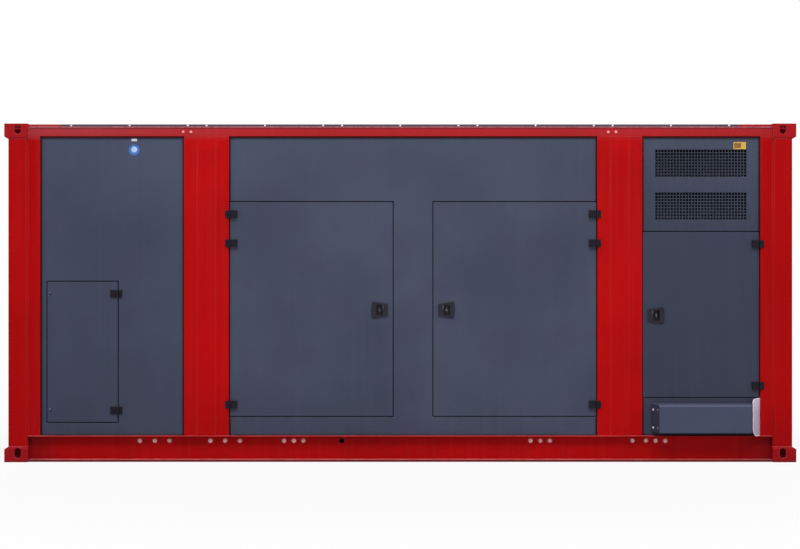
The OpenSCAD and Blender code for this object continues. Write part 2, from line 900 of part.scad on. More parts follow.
// Hinges: the frame half carries the pin below, the door half turns on it above
module frame_half(axis_y, seat_y) {
  block(-hinge_frame_w, -hinge_relief, axis_y + hinge_set, seat_y, -hinge_h / 2, hinge_h / 2);
  translate([0, axis_y, -hinge_h / 2]) cylinder(r = knuckle_r, h = (hinge_h - knuckle_gap) / 2);
  block(-hinge_relief - eps, 0, axis_y + hinge_set, axis_y + knuckle_r - eps,
        -hinge_h / 2, -knuckle_gap / 2);
  translate([0, axis_y, -hinge_h / 2]) cylinder(r = pin_r, h = hinge_h);
}

module door_half(axis_y, seat_y) {
  bore_r = pin_r + pin_clearance;
  block(hinge_relief, hinge_door_w, axis_y + hinge_set, seat_y, -hinge_h / 2, hinge_h / 2);
  difference() {
    union() {
      translate([0, axis_y, knuckle_gap / 2]) cylinder(r = knuckle_r, h = (hinge_h - knuckle_gap) / 2);
      block(0, hinge_relief + eps, axis_y + hinge_set, axis_y + knuckle_r - eps,
            knuckle_gap / 2, hinge_h / 2);
    }
    translate([0, axis_y, 0]) cylinder(r = bore_r, h = hinge_h);
  }
}

// Hinge heights: the large doors have a middle hinge as well
function hinge_z(o, middle) = middle
  ? [o[3] - hinge_top_drop, o[3] - hinge_mid_drop, o[2] + hinge_low_rise]
  : [o[3] - hinge_top_drop, o[2] + hinge_low_rise];

module at_hinges(o, right, middle) {
  for (z = hinge_z(o, middle))
    translate([pivot_x(o, right), 0, z]) mirror([right ? 1 : 0, 0, 0]) children();
}

module side_frame_hinges() {
  at_hinges(hatch_opening, true, false) frame_half(hatch_axis_y, panel_inset);
  at_hinges(left_opening, false, true) frame_half(hinge_axis_y, band_inset);
  at_hinges(right_opening, true, true) frame_half(hinge_axis_y, band_inset);
  at_hinges(service_opening, true, false) frame_half(hinge_axis_y, band_inset);
}

module frame_hinges() {
  color(fitting_black) both_walls() side_frame_hinges();
}

// Handles: a trapezoid plate, narrow towards the door's free edge, with a pocket
module handle_outline() {
  a = handle_size / 2;
  b = handle_narrow / 2;
  bulge_r = (b * b + handle_bulge * handle_bulge) / (2 * handle_bulge);
  hull() {
    for (z = [-1, 1]) {
      translate([handle_bulge - a + handle_corner, z * (a - handle_corner)]) circle(handle_corner);
      translate([a - handle_corner, z * (b - handle_corner)]) circle(handle_corner);
    }
    intersection() {
      translate([bulge_r - a, 0]) circle(bulge_r);
      translate([-a, -b]) square([a, 2 * b]);
    }
  }
}

module handle_body() {
  w = pocket_w / 2;
  h = pocket_h / 2;
  back = panel_inset + pocket_depth;
  difference() {
    union() {
      translate([0, panel_inset, 0]) rotate([90, 0, 0]) linear_extrude(handle_t) handle_outline();
      block(-w - pocket_t, w + pocket_t, panel_inset - eps, back + pocket_t,
            -h - pocket_t, h + pocket_t);
    }
    block(-w, w, latch_y - eps, back, -h, h);
    translate([0, back - eps, 0]) rotate([-90, 0, 0])
      cylinder(r = stem_r + pin_clearance, h = pocket_t + 2 * eps);
  }
}

module latch_body() {
  back = panel_inset + pocket_depth;
  front = back - latch_clearance;
  bar_y1 = latch_y + latch_bar_set + latch_bar_t;
  bar_end = (latch_bar_l - latch_bar_w) / 2;
  translate([0, front, 0]) rotate([90, 0, 0]) cylinder(r = latch_r, h = front - latch_y);
  translate([0, bar_y1, 0]) rotate([90, 0, 0]) linear_extrude(latch_bar_t) {
    square([latch_bar_w, 2 * bar_end], center = true);
    for (end = [-1, 1]) translate([0, end * bar_end]) circle(d = latch_bar_w);
  }
  translate([0, front - eps, 0]) rotate([-90, 0, 0])
    cylinder(r = stem_r, h = latch_clearance + eps + pocket_t + stem_reach);
}

module at_handle(o, right) {
  translate([handle_x(o, right), 0, handle_z(o)]) mirror([right ? 1 : 0, 0, 0]) children();
}

// Service side
module hatch_door() {
  color(panel_grey) front_wall() pan(hatch_opening);
}

module hatch_lining() {
  color(lining_grey) front_wall() leaf_lining(hatch_opening);
}

module hatch_hinges() {
  color(fitting_black) front_wall() at_hinges(hatch_opening, true, false)
    door_half(hatch_axis_y, panel_inset);
}

module left_door() {
  color(panel_grey) front_wall() door_leaf(left_opening, false);
}

module left_door_lining() {
  color(lining_grey) front_wall() door_lining(left_opening, false);
}

module left_door_hinges() {
  color(fitting_black) front_wall() at_hinges(left_opening, false, true)
    door_half(hinge_axis_y, panel_inset);
}

module left_handle() {
  color(fitting_black) front_wall() at_handle(left_opening, false) handle_body();
}

module left_latch() {
  color(latch_dark) front_wall() at_handle(left_opening, false) latch_body();
}

module right_door() {
  color(panel_grey) front_wall() door_leaf(right_opening, true);
}

module right_door_lining() {
  color(lining_grey) front_wall() door_lining(right_opening, true);
}

module right_door_hinges() {
  color(fitting_black) front_wall() at_hinges(right_opening, true, true)
    door_half(hinge_axis_y, panel_inset);
}

module right_handle() {
  color(fitting_black) front_wall() at_handle(right_opening, true) handle_body();
}

module right_latch() {
  color(latch_dark) front_wall() at_handle(right_opening, true) latch_body();
}

module service_door() {
  color(panel_grey) front_wall() door_leaf(service_opening, true);
}

module service_door_lining() {
  color(lining_grey) front_wall() door_lining(service_opening, true);
}

module service_door_hinges() {
  color(fitting_black) front_wall() at_hinges(service_opening, true, false)
    door_half(hinge_axis_y, panel_inset);
}

module service_handle() {
  color(fitting_black) front_wall() at_handle(service_opening, true) handle_body();
}

module service_latch() {
  color(latch_dark) front_wall() at_handle(service_opening, true) latch_body();
}

// Cable hood: a tapered tray, open below and behind, on the lower right panel
module hood_plan(t, depth) {
  x0 = right_x0 + hood_left;
  x1 = right_x1 - hood_right;
  y0 = panel_inset;
  polygon([
    [x0 + t, y0], [x0 + hood_taper + t, y0 - depth], [x1 - hood_taper - t, y0 - depth], [x1 - t, y0]
  ]);
}

// Its depth and height, with the sheet's thickness taken off
module hood_side(t) {
  y1 = panel_inset - hood_depth + t;
  b = hood_bevel - t / 2;
  polygon([
    [panel_inset, -t], [y1, -t], [y1, hood_h - t - b], [y1 + b, hood_h - t], [panel_inset, hood_h - t]
  ]);
}

module hood_form(t) {
  intersection() {
    translate([0, 0, -t]) linear_extrude(hood_h) hood_plan(t, hood_depth);
    run_along(right_x0, right_x1) hood_side(t);
  }
}

module cable_hood() {
  color(panel_grey) front_wall() translate([0, 0, wall_bottom + hood_rise]) difference() {
    hood_form(0);
    hood_form(hood_t);
  }
}

// End flap: swung out beside the hood, with two rounded corners at its free edge
module flap_outline() {
  intersection() {
    square([flap_l, lower_h]);
    hull() {
      square([eps, lower_h]);
      translate([flap_l - flap_low_corner, flap_low_corner]) circle(flap_low_corner);
      translate([flap_l - flap_top_corner, lower_h - flap_top_corner]) circle(flap_top_corner);
    }
  }
}

module hood_flap() {
  y0 = panel_inset - hood_t;
  color(flap_pale) front_wall() {
    block(right_x1 - flap_flange, right_x1, y0, panel_inset, wall_bottom, wall_bottom + lower_h);
    translate([right_x1, y0, wall_bottom]) rotate([0, 0, 180 + flap_angle])
      rotate([90, 0, 0]) linear_extrude(hood_t) flap_outline();
  }
}

// Far side: the same doors, closed
module back_doors() {
  color(panel_grey) back_wall() {
    pan(hatch_opening);
    door_leaf(left_opening, false);
    door_leaf(right_opening, true);
    door_leaf(service_opening, true);
  }
}

module back_door_fittings() {
  color(fitting_black) back_wall() {
    at_hinges(hatch_opening, true, false) door_half(hatch_axis_y, panel_inset);
    at_hinges(left_opening, false, true) door_half(hinge_axis_y, panel_inset);
    at_hinges(right_opening, true, true) door_half(hinge_axis_y, panel_inset);
    at_hinges(service_opening, true, false) door_half(hinge_axis_y, panel_inset);
    at_handle(left_opening, false) handle_body();
    at_handle(right_opening, true) handle_body();
    at_handle(service_opening, true) handle_body();
  }
}

bottom_castings();
top_castings();
corner_posts();
bottom_side_rails();
bottom_end_rails();
top_side_rails();
top_end_rails();
cross_members();
floor_plate();
roof_headers();
roof_panels();
roof_lining();
left_bay_panels();
left_bands();
door_headers();
centre_posts();
door_sills();
right_bands();
louvre_panels();
lower_panels();
end_walls();
upper_grilles();
lower_grilles();
left_end_grilles();
right_end_grilles();
grille_baffles();
door_frames();
wall_lining();
frame_hinges();
cable_hood();
hood_flap();
back_doors();
back_door_fittings();
hatch_door();
hatch_lining();
hatch_hinges();
left_door();
left_door_lining();
left_door_hinges();
left_handle();
left_latch();
right_door();
right_door_lining();
right_door_hinges();
right_handle();
right_latch();
service_door();
service_door_lining();
service_door_hinges();
service_handle();
service_latch();
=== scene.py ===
import json
import math
import random
import bpy
import bmesh
from mathutils import Matrix, Vector


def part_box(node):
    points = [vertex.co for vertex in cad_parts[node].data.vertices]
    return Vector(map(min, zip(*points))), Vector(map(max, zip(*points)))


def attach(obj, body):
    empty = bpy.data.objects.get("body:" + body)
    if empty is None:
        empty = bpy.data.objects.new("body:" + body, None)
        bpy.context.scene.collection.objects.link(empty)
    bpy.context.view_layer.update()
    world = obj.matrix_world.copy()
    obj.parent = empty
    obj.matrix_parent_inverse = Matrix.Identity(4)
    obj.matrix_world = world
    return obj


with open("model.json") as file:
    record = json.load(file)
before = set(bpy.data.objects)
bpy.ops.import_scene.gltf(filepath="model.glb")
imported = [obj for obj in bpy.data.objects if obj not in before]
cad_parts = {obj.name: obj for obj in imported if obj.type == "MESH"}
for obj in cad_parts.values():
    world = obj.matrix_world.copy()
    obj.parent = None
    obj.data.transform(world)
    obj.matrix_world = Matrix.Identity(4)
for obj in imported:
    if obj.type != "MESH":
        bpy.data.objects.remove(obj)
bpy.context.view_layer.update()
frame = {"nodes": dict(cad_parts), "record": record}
nodes = frame["nodes"]
random.seed(11)
print("frame loaded:", len(nodes), "steel nodes")

# Places taken from the frame, in metres
lowCastings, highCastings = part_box("bottom_castings"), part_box("top_castings")
halfLength, halfWidth = lowCastings[1].x, lowCastings[1].y
castingLength = 0.178
castingEnd = halfLength - castingLength          # where the rails run into the castings
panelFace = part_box("hatch_door")[0].y            # doors and grey sheets on the service side
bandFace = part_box("top_side_rails")[0].y         # red bands and top rails there
panelDepth, bandDepth = halfWidth + panelFace, halfWidth + bandFace   # both from the castings' face
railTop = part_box("bottom_side_rails")[1].z
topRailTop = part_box("top_side_rails")[1].z
leftBay, centreBay, rightBay = (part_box(name) for name in
                                ("left_bay_panels", "door_headers", "louvre_panels"))
wallBottom, wallTop = leftBay[0].z, leftBay[1].z
doorGap = 0.008                                  # clear gap round each door


def doorWay(node):
    low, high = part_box(node)
    return (low.x - doorGap, high.x + doorGap, low.z - doorGap, high.z + doorGap)


doorWays = {door: doorWay(door + "_door") for door in ("hatch", "left", "right", "service")}


def toLinear(hexColour):
    channels = [int(hexColour[i:i + 2], 16) / 255 for i in (1, 3, 5)]
    return tuple(c / 12.92 if c <= 0.04045 else ((c + 0.055) / 1.055) ** 2.4
                 for c in channels) + (1.0,)


def addNode(tree, kind, settings=None, links=None):
    # a link comes from a socket, or from a node's first output
    node = tree.nodes.new("ShaderNode" + kind)
    for key, value in (settings or {}).items():
        if isinstance(key, int) or key in node.inputs:
            node.inputs[key].default_value = value
        else:
            setattr(node, key, value)
    for key, source in (links or {}).items():
        socket = source if isinstance(source, bpy.types.NodeSocket) else source.outputs[0]
        tree.links.new(socket, node.inputs[key])
    return node


def newMaterial(name):
    material = bpy.data.materials.new(name)
    material.use_nodes = True
    material.node_tree.nodes.clear()
    return material, material.node_tree


# What the paints mostly share. From, To, Top and Full are places in metres; the rest, down to
# the peel, are strengths from 0 to 1.
plainPaint = {
    "left": 0.0, "right": 0.0,              # strength of the painted side light at each end
    "shadeTop": 9.0, "shadeFull": 8.0,      # no painted side light above the first, all of it below
    "topLightAway": 1.0,                        # painted top light's strength away from the left-hand end
    "nook": 0.0, "flank": 0.0, "tideTop": 0.0, "tide": 0.0,
    "edgeMiddle": 1.0,                      # paler folds between rails and roof: wear and painted highlight
    "peel": 4.0, "peelDepth": 0.0003,       # orange peel's wavelength in mm, depth in metres
}
# Two-coat polyester paint, sprayed on folded steel sheet and cured: satin, with a faint orange
# peel.
framePaint = dict(plainPaint, **{
    "name": "sprayedRedEnamel",
    "colour": "#ba0608",
    "deepColour": "#a90507",
    "patchColour": "#b0070e",
    "paintedSideLightColour": "#9c0206",        # painted shade towards the ends
    "paintedTopLightColour": "#a53a3f",       # painted light: paler near the roof
    "grimeAndShadeColour": "#4a0a10",       # darker low down: road film and painted shade
    "tideColour": "#4a2024",        # dried mud on the lowest edge
    # rain streaks and dust, and painted light on faces that look up
    "dustAndLightColour": "#c98084",
    "wearAndHighlightColour": "#d0484a",        # paler folds and slopes: worn paint and painted highlight
    "sideFrom": 2.2, "sideTo": 3.1, "left": 0.35, "right": 0.6,
    "topLightFrom": 2.46, "topLightTo": 2.52, "fade": 0.85, "topLightAway": 0.5,
    # nook: painted shade where the rails run into the castings
    "grimeAndShadeFrom": 0.02, "grimeAndShadeTo": 0.5, "grimeAndShade": 0.3, "nook": 0.5,
    "tideTop": 0.019, "tide": 0.8, "streaks": 0.02, "upwardDustAndLight": 0.9, "slopeHighlight": 0.07,
    "edge": 0.5, "edgeRadius": 0.005, "edgeMiddle": 0.3,
    "roughness": 0.42, "specular": 0.06,
})
# The same enamel brushed over sand-cast steel: darker, with a coarse skin.
castingPaint = dict(framePaint, name="enamelOnCastSteel", colour="#a9161d", deepColour="#9a1219",
                    paintedTopLightColour="#a31a20", wearAndHighlightColour="#cf5a5e", edge=0.75, edgeRadius=0.006,
                    fade=0.3, left=0.0, right=0.0, nook=0.0, upwardDustAndLight=0.35, tide=0.35, slopeHighlight=0.4,
                    roughness=0.5, peel=9.0, peelDepth=0.0012)
# On the roof's end plates faces that look up are paler by less than on the ledges below: rain keeps
# the dust down, and the painted light there is weaker.
headerPaint = dict(framePaint, name="rainWashedRedEnamel", upwardDustAndLight=0.4)
# Walls and doors have the same kind of paint in slate grey, with a little more shine.
panelPaint = dict(plainPaint, **{
    "name": "sprayedSlateEnamel",
    "colour": "#454c5f",
    "deepColour": "#3a4053",
    "patchColour": "#44415c",
    # painted shade towards the right-hand end and low down
    "paintedSideLightColour": "#333849",
    # painted light: paler towards the top
    "paintedTopLightColour": "#495064",
    # darker low down: road film and painted shade
    "grimeAndShadeColour": "#2f2f3e",
    "tideColour": "#3a3a48",
    "dustAndLightColour": "#737789",
    "wearAndHighlightColour": "#757c92",
    "sideFrom": 1.5, "sideTo": 1.95, "left": 0.2, "right": 0.8,
    "shadeTop": 2.6, "shadeFull": 1.6,
    "topLightFrom": 1.9, "topLightTo": 2.5, "fade": 0.45,
    "grimeAndShadeFrom": 0.1, "grimeAndShadeTo": 1.2, "grimeAndShade": 0.3,
    "streaks": 0.04, "upwardDustAndLight": 0.5, "slopeHighlight": 0.15,
    "edge": 0.2, "edgeRadius": 0.0035,
    "roughness": 0.42, "specular": 0.15,
})
# Around the air inlets the slate enamel is darker: painted shade for the dark holes among the thin
# webs.
grillePaint = dict(panelPaint, name="shadedSlateEnamel", colour="#3e4456", deepColour="#353b4b",
                   patchColour="#3a394c", paintedTopLightColour="#363b47", left=0.0, right=0.0)
# The hood takes none of the walls' painted end shade, so it stays lighter; its cheeks carry painted
# shade.
hoodPaint = dict(panelPaint, name="hoodSlateEnamel", colour="#454b62", deepColour="#3e4358",
                 # here this colour is only painted shade on the hood's cheeks
                 patchColour="#464464", grimeAndShadeColour="#1c2030", grimeAndShade=0.0, flank=0.8,
                 left=0.0, right=0.0, upwardDustAndLight=0.1, edge=0.3, slopeHighlight=0.08)
# On the roof it is dark with rain-borne dirt.
roofPaint = dict(panelPaint, name="weatheredSlateEnamel", colour="#55434f", deepColour="#463a45",
                 patchColour="#584450", paintedTopLightColour="#5a4854", wearAndHighlightColour="#8a6876",
                 dustAndLightColour="#5c5f6c", edge=0.5, left=0.0, right=0.0)
# The hood's end flap is powder-coated: pale and a little glossier; along its edges chips and a
# painted highlight make it paler still.
flapPaint = dict(plainPaint, **{
    "name": "palePolyesterPowder",
    "colour": "#b5aec4",
    "deepColour": "#a79cb0",
    "patchColour": "#bea6b8",
    # painted reflection of the red post on the flap's right-hand part
    "paintedSideLightColour": "#bca0b4",
    # painted light: paler towards the top
    "paintedTopLightColour": "#d6cfdf",
    "grimeAndShadeColour": "#8d8090",
    "tideColour": "#8d8090",
    "dustAndLightColour": "#d8d2dc",
    "wearAndHighlightColour": "#f3eef6",
    "sideFrom": 2.718, "sideTo": 2.732, "right": 0.8,
    "topLightFrom": 0.38, "topLightTo": 0.49, "fade": 0.75,
    "grimeAndShadeFrom": 0.15, "grimeAndShadeTo": 0.4, "grimeAndShade": 0.3,
    "streaks": 0.05, "upwardDustAndLight": 0.6, "slopeHighlight": 0.0,
    "edge": 0.95, "edgeRadius": 0.006,
    "roughness": 0.38, "specular": 0.3,
})

# Uneven patterns in every paint: size in mm, detail and distortion
sprayNoises = {
    "tone": (909.1, 3.0, 0.0),      # uneven film thickness
    "patch": (370.4, 2.0, 0.4),     # a slightly different batch
    "splash": (62.5, 5.0, 0.0),     # splashes from the road
    "rub": (434.8, 5.0, 0.0),       # where the folds are rubbed, or not
    "sheet": (588.2, 1.0, 0.0),     # the sheet itself isn't quite flat
}
# Places of marks that the paints share, and how deep the sheet's waves are, in metres
sprayMarks = {
    "topLightLeftFrom": -2.4, "topLightLeftTo": -1.2, "nookFrom": 2.56, "nookClear": 0.001,
    "nookBelow": 0.005, "tideHigh": 0.006, "roofFoldFrom": 1.5, "roofFoldTo": 2.1,
    "railFoldFrom": 0.4, "railFoldTo": 0.25, "sheetDepth": 0.02,
    "streakWide": 40, "streakLong": 1111.1,    # in mm
}


def sprayedSteel(paint):
    material, tree = newMaterial(paint["name"])
    coords = addNode(tree, "TexCoord").outputs["Object"]
    place = addNode(tree, "SeparateXYZ", links={0: coords})
    along, height = place.outputs["X"], place.outputs["Z"]
    surface = addNode(tree, "NewGeometry")
    facing = addNode(tree, "SeparateXYZ", links={0: surface.outputs["Normal"]})
    rounded = addNode(tree, "Bevel", {"samples": 6, "Radius": paint["edgeRadius"]})
    noise = {}
    for name, (size, detail, swirl) in dict(sprayNoises, peel=(paint["peel"], 1.0, 0.0)).items():
        noise[name] = addNode(tree, "TexNoise", {
            "Scale": 1000 / size, "Detail": detail, "Distortion": swirl}, {"Vector": coords})
    # rain streaks are 40 mm wide and over a metre long
    wide, long = 1000 / sprayMarks["streakWide"], 1000 / sprayMarks["streakLong"]
    stretched = addNode(tree, "Mapping", {"Scale": (wide, wide, long)}, {0: coords})
    streak = addNode(tree, "TexNoise", {"Scale": 1.0, "Detail": 4.0}, {"Vector": stretched})
    span, aside, slant = (addNode(tree, "Math", {"operation": "ABSOLUTE"}, {0: source})
                          for source in (along, facing.outputs["X"], facing.outputs["Y"]))
    slope = addNode(tree, "Math", {"operation": "COMPARE", 1: 0.55, 2: 0.35}, {0: slant})
    beside = addNode(tree, "Math", {
        "operation": "LESS_THAN", 1: castingEnd + sprayMarks["nookClear"]}, {0: span})
    under = addNode(tree, "Math", {
        "operation": "LESS_THAN", 1: railTop - sprayMarks["nookBelow"]}, {0: height})
    turn = addNode(tree, "VectorMath", {"operation": "DOT_PRODUCT"},
                   {0: rounded, 1: surface.outputs["True Normal"]})

    # each mask: what it reads, its two limits there, and its strength at each
    ranges = {
        "tone": (noise["tone"], 0.35, 0.65, 0.0, 1.0),
        "patch": (noise["patch"], 0.5, 0.68, 0.0, 0.5),
        "right": (along, paint["sideFrom"], paint["sideTo"], 0.0, paint["right"]),
        "left": (along, -paint["sideFrom"], -paint["sideTo"], 0.0, paint["left"]),
        "shaded": (height, paint["shadeTop"], paint["shadeFull"], 0.0, 1.0),
        # painted light towards the top
        "fade": (height, paint["topLightFrom"], paint["topLightTo"], 0.0, paint["fade"]),
        "leftward": (along, sprayMarks["topLightLeftFrom"], sprayMarks["topLightLeftTo"], 1.0,
                     paint["topLightAway"]),
        "grimeAndShade": (height, paint["grimeAndShadeTo"], paint["grimeAndShadeFrom"], 0.0, paint["grimeAndShade"]),
        "nook": (span, sprayMarks["nookFrom"], castingEnd, 0.0, paint["nook"]),
        "flank": (aside, 0.7, 0.9, 0.0, paint["flank"]),
        "tide": (height, paint["tideTop"], paint["tideTop"] - sprayMarks["tideHigh"], 0.0,
                 paint["tide"]),
        "streaks": (streak, 0.5, 0.8, 0.0, paint["streaks"]),
        "upward": (facing.outputs["Z"], 0.5, 1.0, 0.0, paint["upwardDustAndLight"]),
        "slopeHighlight": (slope, 0.0, 1.0, 0.0, paint["slopeHighlight"]),
        "fold": (turn.outputs["Value"], 0.995, 0.9, 0.0, paint["edge"]),
        "rub": (noise["rub"], 0.35, 0.6, 0.25, 1.0),
        "nearRoof": (height, sprayMarks["roofFoldFrom"], sprayMarks["roofFoldTo"], paint["edgeMiddle"], 1.0),
        "nearRails": (height, sprayMarks["railFoldFrom"], sprayMarks["railFoldTo"], paint["edgeMiddle"], 1.0),
        # sheen varies with the dirt
        "rough": (noise["splash"], 0.3, 0.7, paint["roughness"] - 0.06, paint["roughness"] + 0.1),
    }
    masks = {name: addNode(tree, "MapRange", {1: start, 2: end, 3: low, 4: high}, {0: source})
             for name, (source, start, end, low, high) in ranges.items()}
    ends = addNode(tree, "Math", {"operation": "ADD"}, {0: masks["left"], 1: masks["right"]})
    paleFolds = addNode(tree, "Math", {"operation": "MAXIMUM"},
                    {0: masks["nearRoof"], 1: masks["nearRails"]})

    colour = addNode(tree, "Mix", {
        "data_type": "RGBA", 6: toLinear(paint["deepColour"]), 7: toLinear(paint["colour"])},
        {0: masks["tone"]}).outputs[2]
    # what lies over the first coat, in turn: a colour, and the masks it comes through
    layers = (
        ("patchColour", masks["patch"]),
        # painted shade, deeper towards the ends and low down; on the flap, a painted reflection of
        # the red post
        ("paintedSideLightColour", ends, masks["shaded"]),
        # painted light towards the roof, most of all at the left; on most paints it is paler
        ("paintedTopLightColour", masks["fade"], masks["leftward"]),
        # darker near the ground: road dirt and painted shade, broken up by splashes
        ("grimeAndShadeColour", masks["grimeAndShade"], noise["splash"]),
        # painted shade where the rails run into the castings, and on the hood's cheeks
        ("grimeAndShadeColour", beside, under, masks["nook"]),
        ("grimeAndShadeColour", masks["flank"]),
        # a tide line of dried mud along the lowest edge, then rain streaks
        ("tideColour", masks["tide"]),
        ("dustAndLightColour", masks["streaks"]),
        # faces that look up are paler: dust, and painted light from above
        ("dustAndLightColour", masks["upward"], noise["splash"]),
        # painted highlight on narrow sloped faces
        ("wearAndHighlightColour", masks["slopeHighlight"]),
        # paler on the folds, most of all near the roof and near the rails: worn paint, and painted
        # highlight along the edges
        ("wearAndHighlightColour", masks["fold"], masks["rub"], paleFolds),
    )
    for tint, through, *others in layers:
        for other in others:
            through = addNode(tree, "Math", {"operation": "MULTIPLY"}, {0: through, 1: other})
        colour = addNode(tree, "Mix", {"data_type": "RGBA", 7: toLinear(paint[tint])},
                         {0: through, 6: colour}).outputs[2]

    wave = addNode(tree, "Bump", {"Strength": 0.35, "Distance": sprayMarks["sheetDepth"]},
                   {"Height": noise["sheet"], "Normal": rounded})
    skin = addNode(tree, "Bump", {"Strength": 0.25, "Distance": paint["peelDepth"]},
                   {"Height": noise["peel"], "Normal": wave})
    shader = addNode(tree, "BsdfPrincipled", {
        "IOR": 1.5, "Specular IOR Level": paint["specular"]},
        {"Base Color": colour, "Roughness": masks["rough"], "Normal": skin})
    addNode(tree, "OutputMaterial", links={0: shader})
    return material


redEnamel = sprayedSteel(framePaint)
castEnamel = sprayedSteel(castingPaint)
headerEnamel = sprayedSteel(headerPaint)
shadedGrilleEnamel = sprayedSteel(grillePaint)
roofEnamel = sprayedSteel(roofPaint)
hoodEnamel = sprayedSteel(hoodPaint)
slateEnamel = sprayedSteel(panelPaint)
palePowder = sprayedSteel(flapPaint)
print("paints mixed")

# Small finishes: each is a colour, a darker shade of it, its grain in mm, the grain's depth in
# metres and its gloss. None is metallic unless it says so.
smallFinishes = {
    # glass-filled nylon, moulded: near black, fine grained, dull on the flats
    "mouldedBlackNylon": {
        "colour": "#221f2e", "shade": "#171520", "grain": 1.2,
        "depth": 0.0002, "roughness": 0.45, "specular": 0.2},
    # cast zinc hinges under black powder: dull, with a fine orange peel
    "blackPowderZinc": {
        "colour": "#17121d", "shade": "#0e0b15", "grain": 2.0,
        "depth": 0.0002, "roughness": 0.5, "specular": 0.15},
    # extruded rubber for door seals: matt, with a bloom
    "extrudedRubber": {
        "colour": "#191a1c", "shade": "#0f1011", "grain": 3.0,
        "depth": 0.0002, "roughness": 0.75, "specular": 0.3},
    # polyurethane joint sealant, tooled by hand: dark, smooth and slightly uneven; its dark maroon
    # is also painted shade beside the red steel
    "tooledSealant": {
        "colour": "#470a14", "shade": "#300810", "grain": 12.0,
        "depth": 0.0008, "roughness": 0.6, "specular": 0.1},
    # the roof's sealant bead, pale pink: a painted highlight along the top rail's upper edge
    "highlightSealant": {
        "colour": "#b0666e", "shade": "#94484f", "grain": 12.0,
        "depth": 0.0008, "roughness": 0.7, "specular": 0.2},
    # bright zinc on bolt heads: pale grey, soft gloss
    "zincPlatedSteel": {
        "colour": "#f2ecf0", "shade": "#dcd4da", "grain": 2.0,
        "depth": 0.0001, "roughness": 0.4, "metallic": 0.5},
    # bright zinc with red paint dust on it
    "dustedZinc": {
        "colour": "#ffaaa6", "shade": "#ee8e8c", "grain": 2.0,
        "depth": 0.0001, "roughness": 0.4, "metallic": 0.3},
    # zinc gone grey and dull with weather
    "greyZinc": {
        "colour": "#7a7c8a", "shade": "#62646f", "grain": 2.0,
        "depth": 0.0001, "roughness": 0.5},
    # rim of a polythene plug, stained by the paint around it
    "stainedPlug": {
        "colour": "#c4686c", "shade": "#9c444a", "grain": 4.0,
        "depth": 0.0002, "roughness": 0.5, "specular": 0.3},
    # the same plug's domed middle: waxy and pale
    "waxyPlug": {
        "colour": "#ffc2be", "shade": "#f8a4a2", "grain": 4.0,
        "depth": 0.0002, "roughness": 0.5, "specular": 0.4},
    # turned steel latch under black zinc: nearly black, soft gloss
    "blackZincLatch": {
        "colour": "#2c2c31", "shade": "#1d1d21", "grain": 1.0,
        "depth": 0.0001, "roughness": 0.4, "specular": 0.4},
    # open-cell foam behind the grilles, black with soot
    "sootedFoam": {
        "colour": "#24262f", "shade": "#181a20", "grain": 6.0,
        "depth": 0.001, "roughness": 0.9, "specular": 0.0},
    # white plastic edging pressed on to the flap: smooth, slightly glossy
    "whiteEdging": {
        "colour": "#f4f0f8", "shade": "#e6e0ec", "grain": 3.0,
        "depth": 0.0001, "roughness": 0.4},
    # weld run under a thin coat of the frame's enamel: rippled, and pale as a painted highlight
    "paleWeldHighlight": {
        "colour": "#c2565a", "shade": "#a2343a", "grain": 5.0,
        "depth": 0.0012, "roughness": 0.5, "specular": 0.2},
    # nickel-plated lock barrel, dulled by dirt
    "dullNickel": {
        "colour": "#77777c", "shade": "#56565b", "grain": 1.0,
        "depth": 0.0001, "roughness": 0.4, "metallic": 1.0},
    # pressed steel washers, galvanised: grey, faintly spangled
    "galvanisedWasher": {
        "colour": "#8d8f94", "shade": "#6f7176", "grain": 5.0,
        "depth": 0.0001, "roughness": 0.5, "metallic": 0.8},
}
# Vinyl stickers under clear film, left blank: flat colour, soft gloss
for name, colour, shade in (
        ("blueVinyl", "#3a74c6", "#3068b6"), ("whiteVinyl", "#dcd6e2", "#cfc8d6"),
        ("yellowVinyl", "#dcb040", "#cda034"), ("paleBlueVinyl", "#b4ccee", "#a6c0e6"),
        ("amberVinyl", "#8a6426", "#77541e")):
    smallFinishes[name] = {"colour": colour, "shade": shade, "grain": 6.0,
                           "depth": 0.0001, "roughness": 0.4}
# Shared by all small finishes: mottling in mm, rounding of edges in metres
smallMarks = {"mottle": 33.33, "rounding": 0.0015}


def smallFinish(name):
    finish = smallFinishes[name]
    material, tree = newMaterial(name)
    coords = addNode(tree, "TexCoord").outputs["Object"]
    rounded = addNode(tree, "Bevel", {"samples": 4, "Radius": smallMarks["rounding"]})
    tone, grain = (addNode(tree, "TexNoise", {"Scale": 1000 / size, "Detail": detail},
                           {"Vector": coords})
                   for size, detail in ((smallMarks["mottle"], 4.0), (finish["grain"], 2.0)))
    toneRange = addNode(tree, "MapRange", {1: 0.35, 2: 0.65}, {0: tone})
    colour = addNode(tree, "Mix", {
        "data_type": "RGBA", 6: toLinear(finish["shade"]), 7: toLinear(finish["colour"])},
        {0: toneRange})
    rough = addNode(tree, "MapRange", {
        1: 0.3, 2: 0.7, 3: finish["roughness"] - 0.05, 4: finish["roughness"] + 0.08}, {0: tone})
    bump = addNode(tree, "Bump", {"Strength": 0.4, "Distance": finish["depth"]},
                   {"Height": grain, "Normal": rounded})
    shader = addNode(tree, "BsdfPrincipled", {
        "Metallic": finish.get("metallic", 0.0),
        "Specular IOR Level": finish.get("specular", 0.5)},
        {"Base Color": colour.outputs[2], "Roughness": rough, "Normal": bump})
    addNode(tree, "OutputMaterial", links={0: shader})
    return material


finishes = {name: smallFinish(name) for name in smallFinishes}

# Glass cloth over mineral wool: charcoal, woven, lightly quilted by its fixings. Its threads are
# 1 mm apart on the real cloth and are drawn at 9 mm so that they show. Depths are in metres.
liningCloth = {"colour": "#34363c", "shade": "#26282d", "weave": 9.0, "weaveDepth": 0.001,
               "quilt": 300.0, "quiltDepth": 0.02, "mottle": 166.7}


